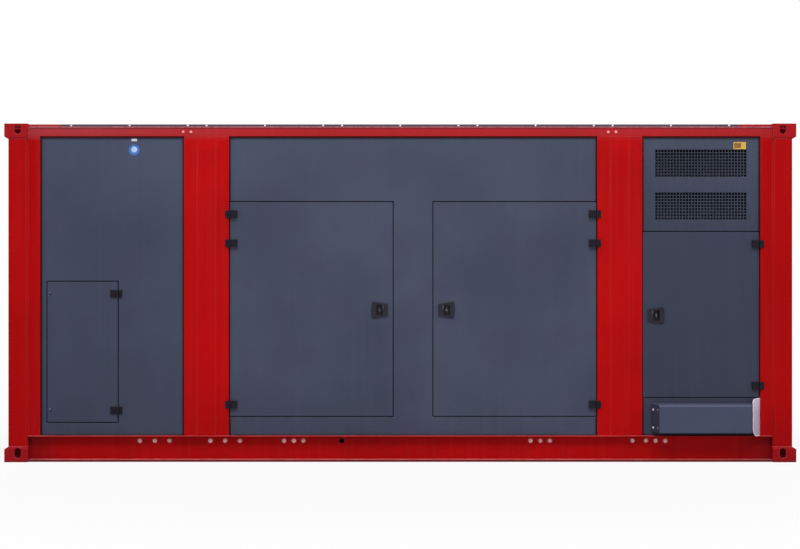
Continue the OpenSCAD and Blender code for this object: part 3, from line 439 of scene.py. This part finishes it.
def wovenFacing():
    material, tree = newMaterial("wovenGlassFacing")
    coords = addNode(tree, "TexCoord").outputs["Object"]
    weave = addNode(tree, "TexVoronoi", {
        "Scale": 1000 / liningCloth["weave"], "Randomness": 0.15}, {"Vector": coords})
    tone = addNode(tree, "TexNoise", {
        "Scale": 1000 / liningCloth["mottle"], "Detail": 5.0}, {"Vector": coords})
    blend = addNode(tree, "Math", {"operation": "MULTIPLY_ADD", 1: 0.9},
                    {0: weave.outputs["Distance"], 2: tone})
    ramp = addNode(tree, "MapRange", {1: 0.5, 2: 1.1}, {0: blend})
    colour = addNode(tree, "Mix", {
        "data_type": "RGBA", 6: toLinear(liningCloth["colour"]),
        7: toLinear(liningCloth["shade"])}, {0: ramp})
    quilt = addNode(tree, "TexVoronoi", {
        "Scale": 1000 / liningCloth["quilt"], "Randomness": 0.1, "feature": "SMOOTH_F1"},
        {"Vector": coords})
    pillow = addNode(tree, "Bump", {
        "Strength": 0.5, "Distance": liningCloth["quiltDepth"]}, {"Height": quilt})
    cloth = addNode(tree, "Bump", {
        "Strength": 0.6, "Distance": liningCloth["weaveDepth"]},
        {"Height": weave.outputs["Distance"], "Normal": pillow})
    shader = addNode(tree, "BsdfPrincipled", {"Roughness": 0.92, "Sheen Weight": 0.1},
                     {"Base Color": colour.outputs[2], "Normal": cloth})
    addNode(tree, "OutputMaterial", links={0: shader})
    return material


# Steel nodes by their slots, then those with a finish of their own
slotFinish = {
    "frame_red": redEnamel, "panel_grey": slateEnamel, "lining": wovenFacing(),
    "fitting_black": finishes["mouldedBlackNylon"], "flap_pale": palePowder,
    "latch_black_zinc": finishes["blackZincLatch"],
}
nodeFinish = {
    "bottom_castings": castEnamel, "top_castings": castEnamel, "roof_panels": roofEnamel,
    "roof_headers": headerEnamel, "cable_hood": hoodEnamel,
    "grille_baffles": finishes["sootedFoam"],
}
for place in ("upper", "lower", "left_end", "right_end"):
    nodeFinish[place + "_grilles"] = shadedGrilleEnamel
for part in frame["record"]["subparts"]:
    finish = nodeFinish.get(part["node"], slotFinish.get(part["material_slot"]))
    if "hinges" in part["node"]:
        finish = finishes["blackPowderZinc"]
    for place in nodes[part["node"]].material_slots:
        place.material = finish
print("finishes on")


def outward(x, depth, z, back=False):
    # local Z points out of the wall, local Y up; depth is metres inside the casting face
    side = 1 if back else -1
    turn = Matrix.Rotation(math.pi, 4, "Z") if back else Matrix.Identity(4)
    return (Matrix.Translation((x, side * (halfWidth - depth), z)) @ turn
            @ Matrix.Rotation(math.pi / 2, 4, "X"))


def softenSome(bm, edges, radius, segments=2):
    bmesh.ops.bevel(bm, geom=edges, offset=radius, offset_type="OFFSET", segments=segments,
                    profile=0.5, affect="EDGES", material=-1)


def edgesOf(verts):
    return list({e for v in verts for e in v.link_edges})


def addBlock(bm, low, high, radius):
    made = bmesh.ops.create_cube(bm, size=1.0)["verts"]
    bmesh.ops.scale(bm, vec=[b - a for a, b in zip(low, high)], verts=made)
    bmesh.ops.translate(bm, vec=[(a + b) / 2 for a, b in zip(low, high)], verts=made)
    softenSome(bm, edgesOf(made), radius)


def addDisc(bm, place, radius, height, top=None, sides=20, lift=0.0):
    middle = place @ Matrix.Translation((0, 0, lift + height / 2))
    return bmesh.ops.create_cone(bm, cap_ends=True, cap_tris=False, segments=sides,
                                 radius1=radius, radius2=radius if top is None else top,
                                 depth=height, matrix=middle)["verts"]


# A hexagon head on a flat washer; corners is a hexagon's width over its corners to that over
# its flats, and the chamfer is a share of the head's height
boltShape = {"washerThick": 0.0012, "corners": 1.155, "chamfer": 0.18}


def addBolt(bm, place, across, head, washer):
    thick = boltShape["washerThick"]
    addDisc(bm, place, washer / 2, thick, sides=18)
    hexagon = addDisc(bm, place, across / 2 * boltShape["corners"], head, sides=6, lift=thick)
    back = place.inverted()
    crown = [e for e in edgesOf(hexagon) if all((back @ v.co).z > head * 0.9 for v in e.verts)]
    softenSome(bm, crown, head * boltShape["chamfer"], 1)


def finishPiece(name, bm, material, body, sharpAngle=32):
    bmesh.ops.recalc_face_normals(bm, faces=bm.faces)
    for face in bm.faces:
        face.smooth = True
    for edge in bm.edges:
        if len(edge.link_faces) != 2 or edge.calc_face_angle(0) > math.radians(sharpAngle):
            edge.smooth = False
    mesh = bpy.data.meshes.new(name)
    bm.to_mesh(mesh)
    bm.free()
    mesh.materials.append(material)
    piece = bpy.data.objects.new(name, mesh)
    bpy.context.scene.collection.objects.link(piece)
    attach(piece, body)


# Bolts that hold the roof panels down, and pairs on the top rails
boltRows = {
    "roofPitch": 1.0384, "roofPanels": 5, "roofOffsets": (-0.447, 0.0, 0.447),
    "roofHeight": 2.5785, "roofAcross": 0.011, "roofHead": 0.005, "roofWasher": 0.0145,
    "railAt": (-1.665, -1.606, 1.596, 1.655),
    "railHeight": 2.529, "railAcross": 0.016, "railHead": 0.007, "railWasher": 0.021,
}


def makeBolts():
    roof, rail = bmesh.new(), bmesh.new()
    count = boltRows["roofPanels"]
    middles = [(i - (count - 1) / 2) * boltRows["roofPitch"] for i in range(count)]
    onRoof = [middle + offset for middle in middles for offset in boltRows["roofOffsets"]]
    for back in (False, True):
        for bm, row, places in ((roof, "roof", onRoof), (rail, "rail", boltRows["railAt"])):
            for x in places:
                addBolt(bm, outward(x, bandDepth, boltRows[row + "Height"], back),
                        boltRows[row + "Across"], boltRows[row + "Head"],
                        boltRows[row + "Washer"])
    finishPiece("roof_bolts", roof, finishes["zincPlatedSteel"], "enclosure")
    finishPiece("rail_bolts", rail, finishes["dustedZinc"], "enclosure")


makeBolts()

# Push-in plugs in the bottom rails, softened and pulled out of round. Each group is its middle,
# its pitch and its count; the single hole left of the middle has no plug.
holePlugs = {
    "groups": ((-1.888, 0.114, 3), (-1.347, 0.114, 3), (-0.819, 0.074, 3), (1.076, 0.074, 3),
               (1.785, 0.0, 1), (1.965, 0.074, 3)),
    "drop": 0.042, "webDepth": 0.053, "flange": 0.0208, "rise": 0.004, "bevel": 0.9,
    "pull": 0.06, "dome": (0.68, 0.8), "domeRise": 0.003, "domeTop": 0.75,
    "slipAside": 0.002, "slipDown": 0.003,
}


def addRound(bm, place, radius, height, top, lift):
    # a disc whose edge is pulled in or out by a small share of its radius
    lean = random.uniform(0, math.tau)
    back = place.inverted()
    for v in addDisc(bm, place, radius, height, top=top, sides=28, lift=lift):
        spot = back @ v.co
        angle = math.atan2(spot.y, spot.x)
        wobble = 0.6 * math.cos(angle - lean) + 0.4 * math.cos(3 * angle + lean)
        pull = 1 + holePlugs["pull"] * wobble
        v.co = place @ Vector((spot.x * pull, spot.y * pull, spot.z))


def makePlugs():
    rims, domes = bmesh.new(), bmesh.new()
    flange, rise = holePlugs["flange"], holePlugs["rise"]
    for back in (False, True):
        for middle, pitch, count in holePlugs["groups"]:
            for i in range(count):
                place = outward(middle + (i - (count - 1) / 2) * pitch, holePlugs["webDepth"],
                                railTop - holePlugs["drop"], back)
                addRound(rims, place, flange, rise, flange * holePlugs["bevel"], 0.0)
                dome = flange * random.uniform(*holePlugs["dome"])
                aside = random.uniform(-holePlugs["slipAside"], holePlugs["slipAside"])
                down = random.uniform(-holePlugs["slipDown"], 0)
                addRound(domes, place @ Matrix.Translation((aside, down, 0)), dome,
                         holePlugs["domeRise"], dome * holePlugs["domeTop"], rise)
    finishPiece("rail_plug_rims", rims, finishes["stainedPlug"], "enclosure")
    finishPiece("rail_plug_domes", domes, finishes["waxyPlug"], "enclosure")


makePlugs()

# Blank stickers: a round blue one with a pale middle and a small white one over it, and a
# two-tone yellow one by the grille. Each is x, z, then its radius or its width and height.
stickers = {
    "blue": (-2.044, 2.393, 0.041), "middle": (-2.044, 2.396, 0.023),
    "white": (-2.044, 2.470, 0.043, 0.020),
    "yellow": (2.608, 2.4265, 0.096, 0.055), "amber": (2.592, 2.4275, 0.052, 0.038),
    "film": 0.0006, "corner": 0.003,
}


def makeRoundSticker(name, vinyl, layer):
    x, z, radius = stickers[name]
    bm = bmesh.new()
    addDisc(bm, outward(x, panelDepth, z), radius, stickers["film"], sides=48,
            lift=layer * stickers["film"])
    finishPiece(name + "_sticker", bm, finishes[vinyl], "enclosure")


def makeSquareSticker(name, vinyl, layer):
    x, z, wide, tall = stickers[name]
    bm = bmesh.new()
    place = outward(x, panelDepth - layer * stickers["film"], z)
    made = bmesh.ops.create_grid(bm, x_segments=1, y_segments=1, size=0.5,
                                 matrix=place @ Matrix.Diagonal((wide, tall, 1, 1)))["verts"]
    bmesh.ops.bevel(bm, geom=made, offset=stickers["corner"], offset_type="OFFSET", segments=3,
                    profile=0.5, affect="VERTICES", material=-1)
    shell = bmesh.ops.extrude_face_region(bm, geom=list(bm.faces))["geom"]
    bmesh.ops.translate(bm, vec=(0, -stickers["film"], 0),
                        verts=[v for v in shell if isinstance(v, bmesh.types.BMVert)])
    finishPiece(name + "_sticker", bm, finishes[vinyl], "enclosure")


makeRoundSticker("blue", "blueVinyl", 0)
makeRoundSticker("middle", "paleBlueVinyl", 1)
makeSquareSticker("white", "whiteVinyl", 0)
makeSquareSticker("yellow", "yellowVinyl", 0)
makeSquareSticker("amber", "amberVinyl", 1)

# Quarter-turn locks at the hatch's free edge, each with a black disc below it as painted shadow
hatchLock = {"at": ((-2.693, 1.297), (-2.693, 0.401)), "radius": 0.0062, "rise": 0.003,
             "slot": (0.009, 0.002, 0.003), "slotTurn": 0.5, "slotRound": 0.0006,
             "shadowDisc": 0.0078, "shadowDiscRise": 0.002, "shadowDiscHangs": (0.005, -0.0115)}


def makeHatchLocks():
    locks, shadowDiscs = bmesh.new(), bmesh.new()
    radius, rise, shadowDisc = hatchLock["radius"], hatchLock["rise"], hatchLock["shadowDisc"]
    aside, drop = hatchLock["shadowDiscHangs"]
    for x, z in hatchLock["at"]:
        addDisc(shadowDiscs, outward(x + aside, panelDepth, z + drop), shadowDisc, hatchLock["shadowDiscRise"],
                top=shadowDisc * 0.85, sides=28)
        place = outward(x, panelDepth, z)
        addDisc(locks, place, radius, rise * 0.5, sides=28)
        addDisc(locks, place, radius * 0.8, rise * 0.6, top=radius * 0.7, sides=28,
                lift=rise * 0.5)
        bar = bmesh.ops.create_cube(
            locks, size=1.0, matrix=place @ Matrix.Translation((0, 0, rise * 1.1))
            @ Matrix.Rotation(hatchLock["slotTurn"], 4, "Z")
            @ Matrix.Diagonal((*hatchLock["slot"], 1)))["verts"]
        softenSome(locks, edgesOf(bar), hatchLock["slotRound"], 1)
    finishPiece("hatch_locks", locks, finishes["greyZinc"], "hatch")
    finishPiece("hatch_lock_shadow_discs", shadowDiscs, finishes["mouldedBlackNylon"], "hatch")


makeHatchLocks()
print("small fixings made")

# Tooled sealant, partly painted shade, where red steel stands proud of the grey sheets, and a bead
# along the roof
jointBead = {"side": 0.013, "top": 0.013, "bottom": 0.006, "rise": 0.010, "round": 0.003,
             "flapClear": 0.018, "roof": 0.0058, "roofStep": 0.12, "roofUneven": 0.2}


def makeSealant():
    side, rise = jointBead["side"], jointBead["rise"]
    runs = []                                   # each is left, right, low and high
    for bay in (leftBay, centreBay, rightBay):
        left, right = bay[0].x, bay[1].x
        clear = jointBead["flapClear"] if bay is rightBay else 0     # stops short of the flap
        runs.append((left, right, wallTop - jointBead["top"], wallTop))
        runs.append((left, right - clear, wallBottom, wallBottom + jointBead["bottom"]))
    # upright runs stop at the doors that reach the edge of a bay
    over = {door: (doorWays[door][3], wallTop) for door in ("left", "service")}
    below = {door: (wallBottom, doorWays[door][2]) for door in ("left", "service")}
    for bay, edge, reach in (
            (leftBay, 0, (wallBottom, wallTop)), (leftBay, 1, (wallBottom, wallTop)),
            (centreBay, 0, below["left"]), (centreBay, 1, below["left"]),
            (centreBay, 0, over["left"]), (centreBay, 1, over["left"]),
            (rightBay, 0, below["service"]), (rightBay, 0, over["service"]),
            (rightBay, 1, over["service"])):
        x = bay[edge].x
        runs.append((x - side * edge, x + side * (1 - edge), *reach))
    bm = bmesh.new()
    for turn in (-1, 1):
        near, far = sorted((turn * -panelFace, turn * (rise - panelFace)))
        for left, right, low, high in runs:
            addBlock(bm, (left, near, low), (right, far, high), jointBead["round"])
    finishPiece("joint_sealant", bm, finishes["tooledSealant"], "enclosure")


def addTube(bm, points, radii, sides=8):
    # rings square to the path, each joined to the one before it
    points = [Vector(point) for point in points]
    last = []
    for i, (point, radius) in enumerate(zip(points, radii)):
        along = points[min(i + 1, len(points) - 1)] - points[max(i - 1, 0)]
        turn = along.to_track_quat("Z", "Y").to_matrix().to_4x4()
        ring = bmesh.ops.create_circle(bm, cap_ends=i in (0, len(points) - 1), segments=sides,
                                       radius=radius, matrix=Matrix.Translation(point) @ turn)
        edges = edgesOf(ring["verts"])
        if last:
            bmesh.ops.bridge_loops(bm, edges=last + edges)
        last = edges


def addBead(bm, start, end, radius, step, unevenness):
    # a hand-laid run, a little thicker or thinner from step to step
    start, end = Vector(start), Vector(end)
    count = max(2, int((end - start).length / step))
    addTube(bm, [start.lerp(end, i / count) for i in range(count + 1)],
            [radius * (1 + random.uniform(-unevenness, unevenness)) for i in range(count + 1)])


# the pale roof bead is a painted highlight on the top rail's upper edge
def makeRoofBeads():
    bm = bmesh.new()
    for y in (bandFace, -bandFace):
        addBead(bm, (-castingEnd, y, topRailTop), (castingEnd, y, topRailTop),
                jointBead["roof"], jointBead["roofStep"], jointBead["roofUneven"])
    finishPiece("roof_sealant", bm, finishes["highlightSealant"], "enclosure", 80)


# Weld runs where the castings meet the top rails and the posts; the pale runs are painted highlight
welds = {"rail": 0.005, "post": 0.0022, "step": 0.011, "unevenness": 0.16,
         "postDepth": 0.006, "outer": 0.030, "lift": 0.004}


def makeWelds():
    highlightedRuns, coated = bmesh.new(), bmesh.new()
    outer, top = halfLength - welds["outer"], highCastings[0].z
    bottom = lowCastings[0].z + (highCastings[1].z - top)
    for side in (-1, 1):
        for back in (-1, 1):
            # at each side's left-hand end the run up the top rail is pale: a painted highlight
            addBead(highlightedRuns if side == back else coated,
                    (side * castingEnd, back * -bandFace, top + welds["lift"]),
                    (side * castingEnd, back * -bandFace, topRailTop),
                    welds["rail"], welds["step"], welds["unevenness"])
            y = back * (halfWidth - welds["postDepth"])
            for run, z in ((coated, top), (highlightedRuns, bottom)):
                addBead(run, (side * castingEnd, y, z), (side * outer, y, z),
                        welds["post"], welds["step"], welds["unevenness"])
    finishPiece("highlighted_welds", highlightedRuns, finishes["paleWeldHighlight"], "enclosure", 80)
    finishPiece("coated_welds", coated, redEnamel, "enclosure", 80)


makeSealant()
makeRoofBeads()
makeWelds()
print("sealant and welds laid")

# The hood is bolted through its left cheek; the flap covers the right one. Each column is its
# share of the way out along the cheek, its size and its finish.
cheekBolt = {"across": 0.010, "head": 0.005, "washer": 0.014, "inset": 0.037, "taper": 0.038,
             "drop": 0.010, "columns": (("hood_bolts_outer", 0.28, 1.3, "zincPlatedSteel"),
                                        ("hood_bolts_inner", 0.8, 0.9, "greyZinc"))}


def makeCheekBolts():
    low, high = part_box("cable_hood")
    taper, inset = cheekBolt["taper"], cheekBolt["inset"]
    foot, front = Vector((low.x, panelFace, 0)), Vector((low.x + taper, low.y, 0))
    out = Vector((front.y - foot.y, -taper, 0)).normalized()
    turn = out.to_track_quat("Z", "Y").to_matrix().to_4x4()
    for name, share, size, finish in cheekBolt["columns"]:
        bm = bmesh.new()
        for z in (low.z + inset, high.z - inset):
            spot = foot.lerp(front, share)
            place = Matrix.Translation((spot.x, spot.y, z - cheekBolt["drop"] * (1 - share)))
            addBolt(bm, place @ turn, cheekBolt["across"] * size, cheekBolt["head"],
                    cheekBolt["washer"] * size)
        finishPiece(name, bm, finishes[finish], "enclosure")


makeCheekBolts()

# Edging pressed over the free edge of the hood's end flap
flapEdging = {"length": 0.100, "angle": 42.0, "start": 0.004, "topCorner": 0.028,
              "lowCorner": 0.060, "sheet": 0.003, "radius": 0.0032, "steps": 7}


def makeFlapEdging():
    low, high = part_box("hood_flap")
    angle, steps = math.radians(flapEdging["angle"]), flapEdging["steps"]
    reach = Vector((-math.cos(angle), -math.sin(angle), 0))
    behind = Vector((-math.sin(angle), math.cos(angle), 0)) * flapEdging["sheet"] / 2
    root = Vector((high.x, panelFace - flapEdging["sheet"], 0)) + behind
    # the outline as distance along the flap and height: out, round both corners and back
    outline = [(flapEdging["start"], high.z)]
    for corner, edge, inward, start in (("topCorner", high.z, -1, 90),
                                        ("lowCorner", low.z, 1, 0)):
        radius = flapEdging[corner]
        for i in range(steps + 1):
            turn = math.radians(start - 90 * i / steps)
            outline.append((flapEdging["length"] - radius + radius * math.cos(turn),
                            edge + inward * radius + radius * math.sin(turn)))
    outline.append((flapEdging["start"], low.z))
    bm = bmesh.new()
    addTube(bm, [root + reach * u + Vector((0, 0, z)) for u, z in outline],
            [flapEdging["radius"]] * len(outline), 10)
    finishPiece("flap_edging", bm, finishes["whiteEdging"], "enclosure", 60)


makeFlapEdging()

# On each handle a key barrel in the latch, and beside the pocket a nickel strip as painted
# highlight
handleTrim = {"barrel": 0.0048, "barrelTop": 0.85, "rise": 0.0015,
              "slit": (0.0012, 0.006, 0.0008), "slitRound": 0.0002,
              "stripAt": 0.0275, "stripWidth": 0.0035, "stripFrom": 0.004, "stripTo": 0.040,
              "stripRise": 0.0012, "stripSunk": 0.001, "stripRound": 0.0006}


def makeHandleTrim(door, side):
    low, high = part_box(door + "_latch")
    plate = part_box(door + "_handle")[0].y
    middle = (low + high) / 2
    bm = bmesh.new()
    place = outward(middle.x, halfWidth + low.y, middle.z)
    barrel, rise = handleTrim["barrel"], handleTrim["rise"]
    addDisc(bm, place, barrel, rise, top=barrel * handleTrim["barrelTop"])
    slit = bmesh.ops.create_cube(bm, size=1.0, matrix=place @ Matrix.Translation((0, 0, rise))
                                 @ Matrix.Diagonal((*handleTrim["slit"], 1)))["verts"]
    softenSome(bm, edgesOf(slit), handleTrim["slitRound"], 1)
    finishPiece(door + "_key_barrel", bm, finishes["dullNickel"], door + "_turn_latch")
    bm = bmesh.new()
    x = middle.x + side * handleTrim["stripAt"]
    half = handleTrim["stripWidth"] / 2
    addBlock(bm, (x - half, plate - handleTrim["stripRise"], middle.z + handleTrim["stripFrom"]),
             (x + half, plate + handleTrim["stripSunk"], middle.z + handleTrim["stripTo"]),
             handleTrim["stripRound"])
    finishPiece(door + "_highlight_strip", bm, finishes["dullNickel"], door + "_door_leaf")


for door, side in (("left", 1), ("right", -1), ("service", -1)):
    makeHandleTrim(door, side)

# Socket screws in both leaves of every hinge. Hinges are placed from the doorway's top or
# bottom, and side is -1 where they are at the door's left.
hingeScrews = {
    "radius": 0.0052, "taper": 0.9, "rise": 0.0007, "socket": 0.0026, "socketRise": 0.0003,
    "apart": 0.014, "frameAt": 0.0203, "doorAt": 0.0353, "leaf": 0.060,
    "largeDepth": 0.020, "hatchDepth": 0.032, "fromTop": 0.100, "second": 0.324,
    "fromBottom": 0.098,
}
hingedDoors = (("hatch", "hatch", 1, "hatchDepth", ("fromTop",)),
               ("left", "left_door_leaf", -1, "largeDepth", ("fromTop", "second")),
               ("right", "right_door_leaf", 1, "largeDepth", ("fromTop", "second")),
               ("service", "service_door_leaf", 1, "largeDepth", ("fromTop",)))


def addScrew(bm, place):
    radius, rise = hingeScrews["radius"], hingeScrews["rise"]
    addDisc(bm, place, radius, rise, top=radius * hingeScrews["taper"])
    addDisc(bm, place, hingeScrews["socket"], hingeScrews["socketRise"], sides=6, lift=rise)


def makeHingeScrews():
    still = bmesh.new()
    for name, body, side, recess, drops in hingedDoors:
        low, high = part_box("hatch_hinges" if name == "hatch" else name + "_door_hinges")
        leaf, depth = hingeScrews["leaf"], hingeScrews[recess]
        axis = high.x - leaf if side < 0 else low.x + leaf
        bottom, top = doorWays[name][2:]
        heights = [top - hingeScrews[drop] for drop in drops]
        moving = bmesh.new()
        for z in heights + [bottom + hingeScrews["fromBottom"]]:
            for up in (-hingeScrews["apart"], hingeScrews["apart"]):
                addScrew(moving, outward(axis - side * hingeScrews["doorAt"], depth, z + up))
                addScrew(still, outward(axis + side * hingeScrews["frameAt"], depth, z + up))
        finishPiece(name + "_hinge_screws", moving, finishes["blackPowderZinc"], body)
    finishPiece("frame_hinge_screws", still, finishes["blackPowderZinc"], "enclosure")


makeHingeScrews()
print("edging, trim and screws made")

# Rubber seals on the stops, seen when a door is open
doorSeal = {"inset": 0.012, "depth": 0.0848, "radius": 0.0038}


def makeSeals():
    inset, radius = doorSeal["inset"], doorSeal["radius"]
    y, lying = doorSeal["depth"] - halfWidth, Matrix.Rotation(math.pi / 2, 4, "Y")
    for name, (left, right, low, high) in doorWays.items():
        left, right, low, high = left + inset, right - inset, low + inset, high - inset
        bm = bmesh.new()
        for z in (low, high):
            addDisc(bm, Matrix.Translation((left - radius, y, z)) @ lying, radius,
                    right - left + 2 * radius, sides=10)
        for x in (left, right):
            addDisc(bm, Matrix.Translation((x, y, low)), radius, high - low, sides=10)
        finishPiece(name + "_seal", bm, finishes["extrudedRubber"], "enclosure",
                    60)


makeSeals()

# Washers pressed on to pins hold the doors' linings
liningFixings = {"radius": 0.016, "taper": 0.92, "rise": 0.0012, "pin": 0.0022,
                 "pinRise": 0.001, "edge": 0.11, "pitch": 0.38, "clear": 0.03}


def spaced(start, end):
    count = max(2, round((end - start) / liningFixings["pitch"]) + 1)
    return [start + (end - start) * i / (count - 1) for i in range(count)]


def makeLiningFixings():
    edge, clear = liningFixings["edge"], liningFixings["clear"]
    radius, rise = liningFixings["radius"], liningFixings["rise"]
    for door, body in (("hatch", "hatch"), ("left_door", "left_door_leaf"),
                       ("right_door", "right_door_leaf"), ("service_door", "service_door_leaf")):
        low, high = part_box(door + "_lining")
        grip = door.replace("_door", "_handle")
        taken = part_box(grip) if grip in nodes else None
        bm = bmesh.new()
        for x in spaced(low.x + edge, high.x - edge):
            for z in spaced(low.z + edge, high.z - edge):
                if (taken and taken[0].x - clear < x < taken[1].x + clear
                        and taken[0].z - clear < z < taken[1].z + clear):
                    continue                    # the handle's back is in the way
                place = Matrix.Translation((x, high.y, z)) @ Matrix.Rotation(-math.pi / 2, 4, "X")
                addDisc(bm, place, radius, rise, top=radius * liningFixings["taper"])
                addDisc(bm, place, liningFixings["pin"], liningFixings["pinRise"], sides=10,
                        lift=rise)
        finishPiece(door + "_lining_washers", bm, finishes["galvanisedWasher"], body)


makeLiningFixings()
print("seals and washers laid")

# Camera where the service side is seen square on
view = {"distance": 8.5, "height": 1.436, "width": 6.118, "aside": -0.002, "sensor": 36.0,
        "farthest": 200.0}
eye = bpy.data.cameras.new("camera")
eye.sensor_width = view["sensor"]
eye.lens = view["sensor"] * view["distance"] / view["width"]
eye.clip_end = view["farthest"]
viewer = bpy.data.objects.new("camera", eye)
viewer.location = (view["aside"], -halfWidth - view["distance"], view["height"])
viewer.rotation_euler = (math.pi / 2, 0, 0)
bpy.context.scene.collection.objects.link(viewer)
bpy.context.scene.camera = viewer

# Studio: a pale floor that fades to white away from the enclosure, and a white surround
studio = {"floor": "#d8d8da", "floorBounce": "#a6a6a8", "floorReach": 60.0, "surround": 0.4,
          "glowFrom": 3.2, "glowTo": 9.0, "glowNear": 0.86, "glowFar": 1.0,
          "shadeFrom": 0.09, "shadeTo": 0.01}


def backdropRay(tree):
    # 1 for rays that show the backdrop, straight on or mirrored; 0 for those that light
    path = addNode(tree, "LightPath")
    first = addNode(tree, "Math", {"operation": "MAXIMUM"},
                    {0: path.outputs["Is Camera Ray"], 1: path.outputs["Is Glossy Ray"]})
    return addNode(tree, "Math", {"operation": "MAXIMUM"},
                   {0: first, 1: path.outputs["Is Transmission Ray"]})


def paleFloor():
    material, tree = newMaterial("paleFloor")
    seen = backdropRay(tree)
    colour = addNode(tree, "Mix", {
        "data_type": "RGBA", 6: toLinear(studio["floorBounce"]), 7: toLinear(studio["floor"])},
        {0: seen})
    shader = addNode(tree, "BsdfPrincipled", {
        "Roughness": 0.9, "Specular IOR Level": 0.1}, {"Base Color": colour.outputs[2]})
    # for the eye alone the floor fades to plain white away from the enclosure
    coords = addNode(tree, "TexCoord").outputs["Object"]
    reach = addNode(tree, "VectorMath", {"operation": "LENGTH"}, {0: coords})
    fade = addNode(tree, "MapRange", {
        1: studio["glowFrom"], 2: studio["glowTo"], 3: studio["glowNear"], 4: studio["glowFar"],
        "interpolation_type": "SMOOTHSTEP"}, {0: reach.outputs["Value"]})
    # and stays dark underneath it
    spread = addNode(tree, "VectorMath", {"operation": "ABSOLUTE"}, {0: coords})
    split = addNode(tree, "SeparateXYZ", links={0: spread})
    clearX, clearY = (addNode(tree, "MapRange", {
        1: edge - studio["shadeFrom"], 2: edge - studio["shadeTo"]}, {0: split.outputs[axis]})
        for axis, edge in (("X", halfLength), ("Y", halfWidth)))
    outside = addNode(tree, "Math", {"operation": "MAXIMUM"}, {0: clearX, 1: clearY})
    mask = fade
    for other in (outside, seen):
        mask = addNode(tree, "Math", {"operation": "MULTIPLY"}, {0: mask, 1: other})
    white = addNode(tree, "Emission", {"Color": (1, 1, 1, 1), "Strength": 1.0})
    both = addNode(tree, "MixShader", links={0: mask, 1: shader, 2: white})
    addNode(tree, "OutputMaterial", links={0: both})
    return material


def makeFloor():
    bm = bmesh.new()
    bmesh.ops.create_grid(bm, x_segments=2, y_segments=2, size=studio["floorReach"])
    mesh = bpy.data.meshes.new("floor")
    bm.to_mesh(mesh)
    bm.free()
    mesh.materials.append(paleFloor())
    floor = bpy.data.objects.new("floor", mesh)
    bpy.context.scene.collection.objects.link(floor)


def makeSurround():
    world = bpy.data.worlds.new("surround")
    bpy.context.scene.world = world
    world.use_nodes = True
    sky = world.node_tree
    sky.nodes.clear()
    level = addNode(sky, "MapRange", {3: studio["surround"], 4: 1.0},
                    {0: backdropRay(sky)})
    glow = addNode(sky, "Background", {"Color": (1, 1, 1, 1)}, {"Strength": level})
    addNode(sky, "OutputWorld", links={0: glow})


makeFloor()
makeSurround()

# Large soft lamps, led from high in front: place, target, width and height in metres, watts
lamps = {
    "keySoftbox": ((0.0, -11.0, 16.0), (0, -1.2, 1.2), (12.0, 6.0), 2250.0),
    "fillSoftbox": ((1.0, -12.0, 3.0), (0.3, -1.2, 1.2), (8.0, 3.0), 100.0),
    "backSoftbox": ((2.0, 11.0, 14.0), (0, 1.2, 1.2), (12.0, 6.0), 1300.0),
    "leftSoftbox": ((-13.0, -3.0, 7.0), (-3.0, 0, 1.2), (6.0, 4.0), 600.0),
    "rightSoftbox": ((13.0, -3.0, 7.0), (3.0, 0, 1.2), (6.0, 4.0), 450.0),
}
for name, (place, target, size, power) in lamps.items():
    lamp = bpy.data.lights.new(name, "AREA")
    lamp.shape = "RECTANGLE"
    lamp.size, lamp.size_y = size
    lamp.energy = power
    holder = bpy.data.objects.new(name, lamp)
    holder.location = place
    aim = Vector(target) - Vector(place)
    holder.rotation_euler = aim.to_track_quat("-Z", "Y").to_euler()
    bpy.context.scene.collection.objects.link(holder)
bpy.context.scene.view_settings.view_transform = "Standard"
print("studio set")
